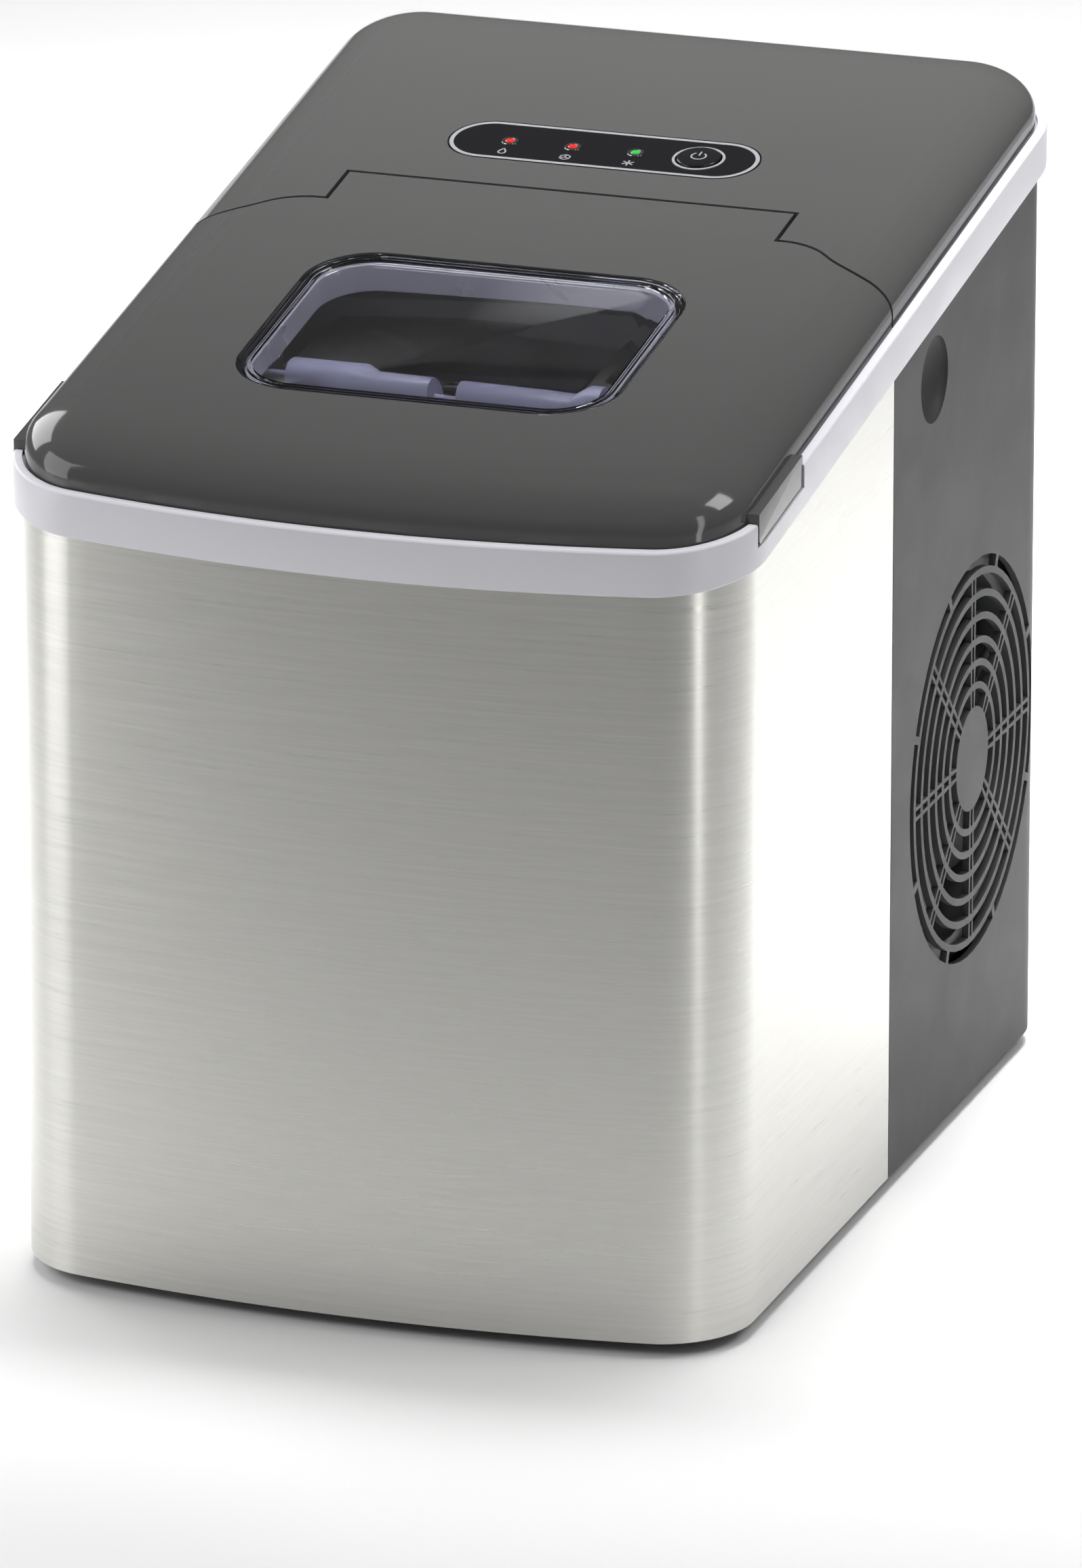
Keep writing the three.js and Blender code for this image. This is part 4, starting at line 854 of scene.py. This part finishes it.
# Control panel: a gloss black stadium let into the cover, with a printed grey border
# and a printed icon under each lamp. The print is a thin layer of ink on its face.
PANEL_BLACK = (0.006, 0.006, 0.007, 1)
PRINT_GREY = (0.26, 0.265, 0.275, 1)
PRINT_RISE = 0.00006
PRINT_SUNK = -0.00005
BORDER = (0.0004, 0.0017)
ICON_Y = PANEL_Y - 0.0078
PEN = 0.0005
FINE_PEN = 0.0004
DROP_RADIUS = 0.0009
DROP_TIP = 0.0022
CUBE_RADIUS = 0.0018
FLAKE_RADIUS = 0.002


def ring_plan(x, y, inner, outer, start=0.0, end=math.tau, steps=32):
    """A flat ring, or part of one, round a point of the panel."""
    mesh = bmesh.new()
    along = Vector((math.cos(start), math.sin(start), 0))
    spoke = [mesh.verts.new(Vector((x, y, 0)) + along * reach) for reach in (inner, outer)]
    line = mesh.edges.new(spoke)
    bmesh.ops.spin(
        mesh,
        geom=[line, *spoke],
        axis=(0, 0, 1),
        cent=(x, y, 0),
        angle=end - start,
        steps=steps,
        use_merge=end - start > math.tau - WELD,
    )
    return mesh


def bar_plan(start, end, width):
    """A flat bar between two points of the panel."""
    start, end = Vector((*start, 0)), Vector((*end, 0))
    along = end - start
    mesh = bmesh.new()
    bmesh.ops.create_grid(mesh, x_segments=1, y_segments=1, size=0.5)
    size = Matrix.Diagonal((along.length, width, 1, 1))
    turn = Matrix.Rotation(math.atan2(along.y, along.x), 4, "Z")
    place = Matrix.Translation((start + end) / 2) @ turn @ size
    bmesh.ops.transform(mesh, matrix=place, verts=mesh.verts)
    return mesh


def level_with(rise):
    """The panel's face, moved up by a distance."""
    return above(crown_top, rise)


def printed(plans, rise):
    """Flat plans as one layer of ink on the panel."""
    return gathered([raised(plan, level_with(PRINT_SUNK), level_with(rise)) for plan in plans])


overlay = raised(stadium(0), level_with(-PANEL_THICKNESS), level_with(0))
overlay = carved(overlay, control_holes())
rounded(overlay, 0.0002)
panel_black = moulded("panel black", PANEL_BLACK, 0.1, 0.18, 1800, 0.000003, 0.1)
placed(overlay, "panel_overlay", [panel_black], "cabinet", "panel_black", "control_overlay")
border = raised(stadium(-BORDER[0]), level_with(PRINT_SUNK), level_with(PRINT_RISE))
border = carved(border, raised(stadium(-BORDER[1]), level_with(-0.001), level_with(0.001)))
drop_x, cube_x, flake_x = LAMPS_X
bow = (DROP_RADIUS, DROP_RADIUS + PEN, math.radians(145), math.radians(395))
icons = [ring_plan(drop_x, ICON_Y - 0.0004, *bow)]
for side in (-1, 1):
    foot = (drop_x + side * 0.00105, ICON_Y + 0.0003)
    icons.append(bar_plan(foot, (drop_x, ICON_Y + DROP_TIP), PEN))


def around(x, radius, degrees):
    """A point on a circle round an icon's middle."""
    turn = math.radians(degrees)
    return (x + radius * math.cos(turn), ICON_Y + radius * math.sin(turn))


for corner in range(6):
    start, end = (around(cube_x, CUBE_RADIUS, 30 + 60 * step) for step in (corner, corner + 1))
    icons.append(bar_plan(start, end, FINE_PEN))
    if corner % 2 == 0:
        icons.append(bar_plan((cube_x, ICON_Y), end, FINE_PEN))
for degrees in (30, 90, 150):
    start = around(flake_x, FLAKE_RADIUS, degrees + 180)
    icons.append(bar_plan(start, around(flake_x, FLAKE_RADIUS, degrees), PEN))
print_grey = moulded("print grey", PRINT_GREY, 0.3, 0.4, 1500, 0.000002, 0.1)
ink = gathered([border, printed(icons, PRINT_RISE)])
placed(ink, "panel_print", [print_grey], "cabinet", "panel_black")

# Lamps: three low domed lenses in coloured plastic, red, red and green, that are pushed
# up through the panel, each in a turned bright ring.
LAMP_RED = (0.55, 0.02, 0.015, 1)
LAMP_GREEN = (0.03, 0.34, 0.05, 1)
RING_SILVER = (0.62, 0.62, 0.64, 1)
LENS_RADIUS = 0.0016
LENS_STEM = 0.0055
RING_OUTER = 0.0027
RING_INNER = LENS_RADIUS + 0.0001


def lens(x):
    """A low domed lens over a short stem."""
    top = crown_top(PANEL_Y)
    mesh = rod((x, PANEL_Y, top - LENS_STEM), (x, PANEL_Y, top), LENS_RADIUS, 24)
    cap = bmesh.new()
    bmesh.ops.create_uvsphere(cap, u_segments=24, v_segments=12, radius=LENS_RADIUS)
    flat = Matrix.Translation((x, PANEL_Y, top)) @ Matrix.Diagonal((1, 1, 0.5, 1))
    bmesh.ops.transform(cap, matrix=flat, verts=cap.verts)
    return carved(mesh, cap, "UNION")


def lamp_plastic(name, colour):
    """A lens moulding in one colour that glows a little."""
    material = moulded(name, colour, 0.08, 0.14, 2000, 0.000001, 0.1)
    shader = material.node_tree.nodes["Principled BSDF"]
    shader.inputs["Emission Color"].default_value = colour
    shader.inputs["Emission Strength"].default_value = 0.25
    shader.inputs["Coat Weight"].default_value = 0.5
    return material


lamp_red = lamp_plastic("lamp red", LAMP_RED)
lamp_green = lamp_plastic("lamp green", LAMP_GREEN)
for x, node, material, slot in (
    (LAMPS_X[0], "lamp_add_water", lamp_red, "lamp_red"),
    (LAMPS_X[1], "lamp_ice_full", lamp_red, "lamp_red"),
    (LAMPS_X[2], "lamp_making_ice", lamp_green, "lamp_green"),
):
    placed(lens(x), node + "_lens", [material], "cabinet", slot, node)
rings = []
for x in LAMPS_X:
    ring = ring_plan(x, PANEL_Y, RING_INNER, RING_OUTER)
    rings.append(raised(ring, level_with(-0.0006), level_with(0.0003)))
ring_silver = brushed("ring silver", RING_SILVER, 0.12, 0.2, 80, 0.000002, 0)
placed(rounded(gathered(rings), 0.0001), "lamp_rings", [ring_silver], "cabinet", "pin_steel")

# Button: a black moulded cap with a round edge, in a printed grey ring. It moves in a
# hole of the panel and carries a printed power icon.
BUTTON_BLACK = (0.008, 0.008, 0.009, 1)
BUTTON_RADIUS = 0.0070
BUTTON_PROUD = 0.0009
BUTTON_DEPTH = 0.005
BUTTON_RIM = 0.0009
POWER_RADIUS = 0.0021
POWER_TIP = 0.0032
button = upright(BUTTON_X, BUTTON_RADIUS, 64)
height = raised(flat_plan(0.1, 0, 0.1), level_with(-BUTTON_DEPTH), level_with(BUTTON_PROUD))
button = carved(button, height, "INTERSECT")
rounded(button, SOFT_EDGE, 4)
button_black = moulded("button black", BUTTON_BLACK, 0.22, 0.32, 2200, 0.000008, 0.15)
placed(button, "button_cap", [button_black], "power_button", "button_black", "on_off_button")
gap_sides = (math.radians(125), math.radians(415))
icon = [ring_plan(BUTTON_X, PANEL_Y, POWER_RADIUS, POWER_RADIUS + PEN, *gap_sides)]
icon.append(bar_plan((BUTTON_X, PANEL_Y + 0.0004), (BUTTON_X, PANEL_Y + POWER_TIP), PEN))
icon = printed(icon, BUTTON_PROUD + PRINT_RISE)
placed(icon, "power_icon", [print_grey], "power_button", "button_black")
rim = raised(
    ring_plan(BUTTON_X, PANEL_Y, BUTTON_HOLE, BUTTON_HOLE + BUTTON_RIM, steps=64),
    level_with(PRINT_SUNK),
    level_with(0.00025),
)
placed(rounded(rim, 0.0001), "button_rim", [print_grey], "cabinet", "panel_black")

# Circuit boards: one under the panel and one behind the condenser, of green board with
# fine copper tracks and dark parts soldered on.
BOARD_GREEN = (0.012, 0.085, 0.028, 1)
circuit_board = moulded("circuit board", BOARD_GREEN, 0.3, 0.5, 700, 0.00004, 0.6)
dress("control_board", circuit_board)
dress("power_board", circuit_board)

# Screws and cord gland: two pan-head screws fix the pan, and a rubber gland closes the
# hole that the mains cord leaves by.
for side in ("left", "right"):
    refined("rear_screw_" + side, FINE_EDGE, pin_steel, "cabinet", "pin_steel")
refined("cord_gland", SMALL_EDGE, foot_rubber, "cabinet", "rubber_black")

# Liner and foam: the moulded grey tub that holds the water and the ice, in a jacket of
# white foam poured round it.
LINER_GREY = (0.20, 0.20, 0.21, 1)
FOAM_WHITE = (0.80, 0.78, 0.72, 1)
liner_grey = moulded("liner grey", LINER_GREY, 0.3, 0.42, 1400, 0.00002, 0.15)
refined("liner", BROAD_EDGE, liner_grey, "cabinet", "liner_grey")
foam_white = moulded("foam white", FOAM_WHITE, 0.8, 0.95, 420, 0.0004, 0.3)
dress("insulation", foam_white)
refined("ice_chute", SOFT_EDGE, liner_grey, "cabinet", "liner_grey")

# Ice basket: a slotted tub in smoky clear plastic that lifts out with the ice.
BASKET_CLEAR = (0.66, 0.68, 0.72, 1)
basket_clear = moulded("basket clear", BASKET_CLEAR, 0.1, 0.2, 900, 0.00001, 0.1)
let_through(basket_clear, 0.7)
refined("ice_basket", SMALL_EDGE, basket_clear, "basket", "basket_clear_grey")

# Sensors and float: two infrared eyes over the basket, the float's white stem and the
# blue ring that rides up it with the water.
SENSOR_WHITE = (0.70, 0.70, 0.68, 1)
FLOAT_BLUE = (0.03, 0.12, 0.42, 1)
sensor_white = moulded("sensor white", SENSOR_WHITE, 0.3, 0.42, 1500, 0.00001, 0.15)
for node in ("ice_sensor_left", "ice_sensor_right", "float_stem"):
    refined(node, SMALL_EDGE, sensor_white, "cabinet", "sensor_white")
float_blue = moulded("float blue", FLOAT_BLUE, 0.35, 0.5, 1300, 0.00003, 0.15)
refined("level_float", SOFT_EDGE, float_blue, "float", "float_blue")

# Ice works: a dark slotted frame over nine nickel-plated fingers, the tray that they
# freeze in, its geared motor, and the lilac shovel that pushes the ice off.
FRAME_DARK = (0.050, 0.046, 0.044, 1)
NICKEL = (0.60, 0.58, 0.53, 1)
TRAY_GREY = (0.42, 0.43, 0.45, 1)
SHOVEL_LILAC = (0.34, 0.34, 0.50, 1)
frame_dark = moulded("frame dark", FRAME_DARK, 0.3, 0.42, 1500, 0.00002, 0.2)
refined("mechanism_frame", 0.0006, frame_dark, "cabinet", "frame_dark")
nickel_plate = brushed("nickel plate", NICKEL, 0.16, 0.3, 34, 0.000006, 0)
refined("evaporator", SMALL_EDGE, nickel_plate, "cabinet", "nickel_plate")
tray_grey = moulded("tray grey", TRAY_GREY, 0.25, 0.36, 1500, 0.00001, 0.15)
refined("water_tray", FINE_EDGE, tray_grey, "tray", "tray_grey")
refined("tray_motor", 0.0006, sensor_white, "cabinet", "sensor_white")
shovel_lilac = moulded("shovel lilac", SHOVEL_LILAC, 0.3, 0.4, 1500, 0.00001, 0.15)
refined("ice_shovel", SOFT_EDGE, shovel_lilac, "shovel", "shovel_lilac")

# Water path: the pump behind the tub, the clear silicone hose up to the tray, and the
# drain pipe with its push-in rubber cap at the back.
SILICONE = (0.72, 0.73, 0.74, 1)
refined("water_pump", 0.0006, frame_dark, "cabinet", "frame_dark")
hose_silicone = moulded("hose silicone", SILICONE, 0.3, 0.45, 1100, 0.00002, 0.15)
let_through(hose_silicone, 0.3)
dress("fill_hose", hose_silicone)
refined("drain_tube", FINE_EDGE, hose_silicone, "cabinet", "hose_silicone")
refined("drain_cap", SOFT_EDGE, foot_rubber, "drain_stopper", "rubber_black")

# Compressor: a black enamelled steel shell on three rubber mounts, with a cream cover
# over its relay. The enamel is thick and slightly rippled.
ENAMEL_BLACK = (0.010, 0.010, 0.011, 1)
RELAY_CREAM = (0.62, 0.57, 0.45, 1)
enamel = moulded("compressor enamel", ENAMEL_BLACK, 0.2, 0.36, 260, 0.0001, 0.2)
refined("compressor", 0.0006, enamel, "cabinet", "compressor_black")
for mount in ("1", "2", "3"):
    refined("compressor_mount_" + mount, SMALL_EDGE, foot_rubber, "cabinet", "rubber_black")
relay_cream = moulded("relay cream", RELAY_CREAM, 0.4, 0.52, 1400, 0.00002, 0.2)
refined("relay_cover", BROAD_EDGE, relay_cream, "cabinet", "relay_cream", 3)

# Condenser and fan: pressed aluminium fins on a bent pipe at the left grille, and a
# shaded-pole fan in a dark plastic shroud at the right one.
ALUMINIUM = (0.56, 0.57, 0.58, 1)
FAN_GREY = (0.090, 0.091, 0.095, 1)
SHROUD_DARK = (0.075, 0.077, 0.080, 1)
fin_aluminium = brushed("fin aluminium", ALUMINIUM, 0.3, 0.48, 40, 0.00001, 0)
dress("condenser", fin_aluminium)
refined("fan_motor", SOFT_EDGE, fin_aluminium, "cabinet", "fin_aluminium")
shroud_dark = moulded("shroud dark", SHROUD_DARK, 0.4, 0.5, 1500, 0.00002, 0.2)
refined("fan_shroud", SOFT_EDGE, shroud_dark, "cabinet", "frame_dark")
fan_grey = moulded("fan grey", FAN_GREY, 0.35, 0.45, 1500, 0.00002, 0.2)
refined("fan_blade", FINE_EDGE, fan_grey, "fan", "fan_grey")

# Refrigerant lines: drawn copper pipe from the compressor through the condenser and the
# drier to the fingers, dull in places where it has tarnished.
COPPER = (0.62, 0.29, 0.15, 1)
copper_tube = brushed("copper tube", COPPER, 0.22, 0.42, 30, 0.000006, 0)
for node in ("suction_line", "discharge_line", "liquid_line"):
    dress(node, copper_tube)
refined("filter_drier", SMALL_EDGE, copper_tube, "cabinet", "copper_tube")

# Floor, light and camera: a pale floor, soft lamps that leave the floor in front darker,
# so that the steel shades off upwards, and a long lens.
floor = bpy.data.meshes.new("floor")
ground = bmesh.new()
bmesh.ops.create_grid(ground, x_segments=1, y_segments=1, size=8)
ground.to_mesh(floor)
ground.free()
floor_piece = bpy.data.objects.new("floor", floor)
bpy.context.scene.collection.objects.link(floor_piece)
pale = bpy.data.materials.new("floor pale")
pale.use_nodes = True
pale.node_tree.nodes["Principled BSDF"].inputs["Base Color"].default_value = (0.9, 0.9, 0.9, 1)
pale.node_tree.nodes["Principled BSDF"].inputs["Roughness"].default_value = 0.8
floor.materials.append(pale)

world = bpy.data.worlds.new("studio")
bpy.context.scene.world = world
world.use_nodes = True
world.node_tree.nodes["Background"].inputs["Color"].default_value = (1, 1, 1, 1)
world.node_tree.nodes["Background"].inputs["Strength"].default_value = 0.1
bpy.context.scene.view_settings.view_transform = "Standard"


def lamp(name, place, aim, size, power, spread=180, mirrored=True):
    """A soft lamp at a place, facing a point. Its spread keeps the light off the rest."""
    data = bpy.data.lights.new(name, "AREA")
    data.shape = "RECTANGLE"
    data.size, data.size_y = size
    data.energy = power
    data.spread = math.radians(spread)
    piece = bpy.data.objects.new(name, data)
    bpy.context.scene.collection.objects.link(piece)
    piece.location = place
    piece.rotation_euler = (Vector(place) - Vector(aim)).to_track_quat("Z", "Y").to_euler()
    piece.visible_camera = False
    piece.visible_glossy = mirrored


lamp("overhead softbox", (0, 0.48, 1.4), (0, 0.48, 0), (1.0, 1.0), 8, 54, False)
lamp("background light", (0, 2.6, 3.2), (0, 2.6, 0), (3.0, 1.2), 42, 100, False)
lamp("front fill", (-0.5, -1.9, 1.6), (0, 0, 0.1), (1.2, 0.8), 1.6, 60, False)
lamp("low left softbox", (-0.95, -0.60, 0.4), (0, 0, 0.1), (0.7, 0.8), 4.6)
lamp("right strip", (0.60, -0.42, 0.3), (0.1, -0.1, 0.1), (0.07, 0.7), 0.55)
lamp("left softbox", (-1.36, 0.50, 0.85), (-0.1, -0.1, 0.28), (0.9, 0.8), 10)
lamp("right softbox", (1.22, 0.10, 1.45), (0.1, -0.1, 0.28), (0.6, 0.7), 9)

CAMERA_AZIMUTH = math.radians(18.99)
CAMERA_ELEVATION = math.radians(18.41)
CAMERA_DISTANCE = 4.5265
CAMERA_AIM = Vector((0.0019, -0.003, 0.124))
camera = bpy.data.cameras.new("camera")
camera.sensor_width = 36
camera.lens = 328.4
camera.clip_end = 50
camera_piece = bpy.data.objects.new("camera", camera)
bpy.context.scene.collection.objects.link(camera_piece)
away = Vector(
    (
        math.sin(CAMERA_AZIMUTH) * math.cos(CAMERA_ELEVATION),
        -math.cos(CAMERA_AZIMUTH) * math.cos(CAMERA_ELEVATION),
        math.sin(CAMERA_ELEVATION),
    )
)
camera_piece.location = CAMERA_AIM + away * CAMERA_DISTANCE
camera_piece.rotation_euler = away.to_track_quat("Z", "Y").to_euler()
bpy.context.scene.camera = camera_piece
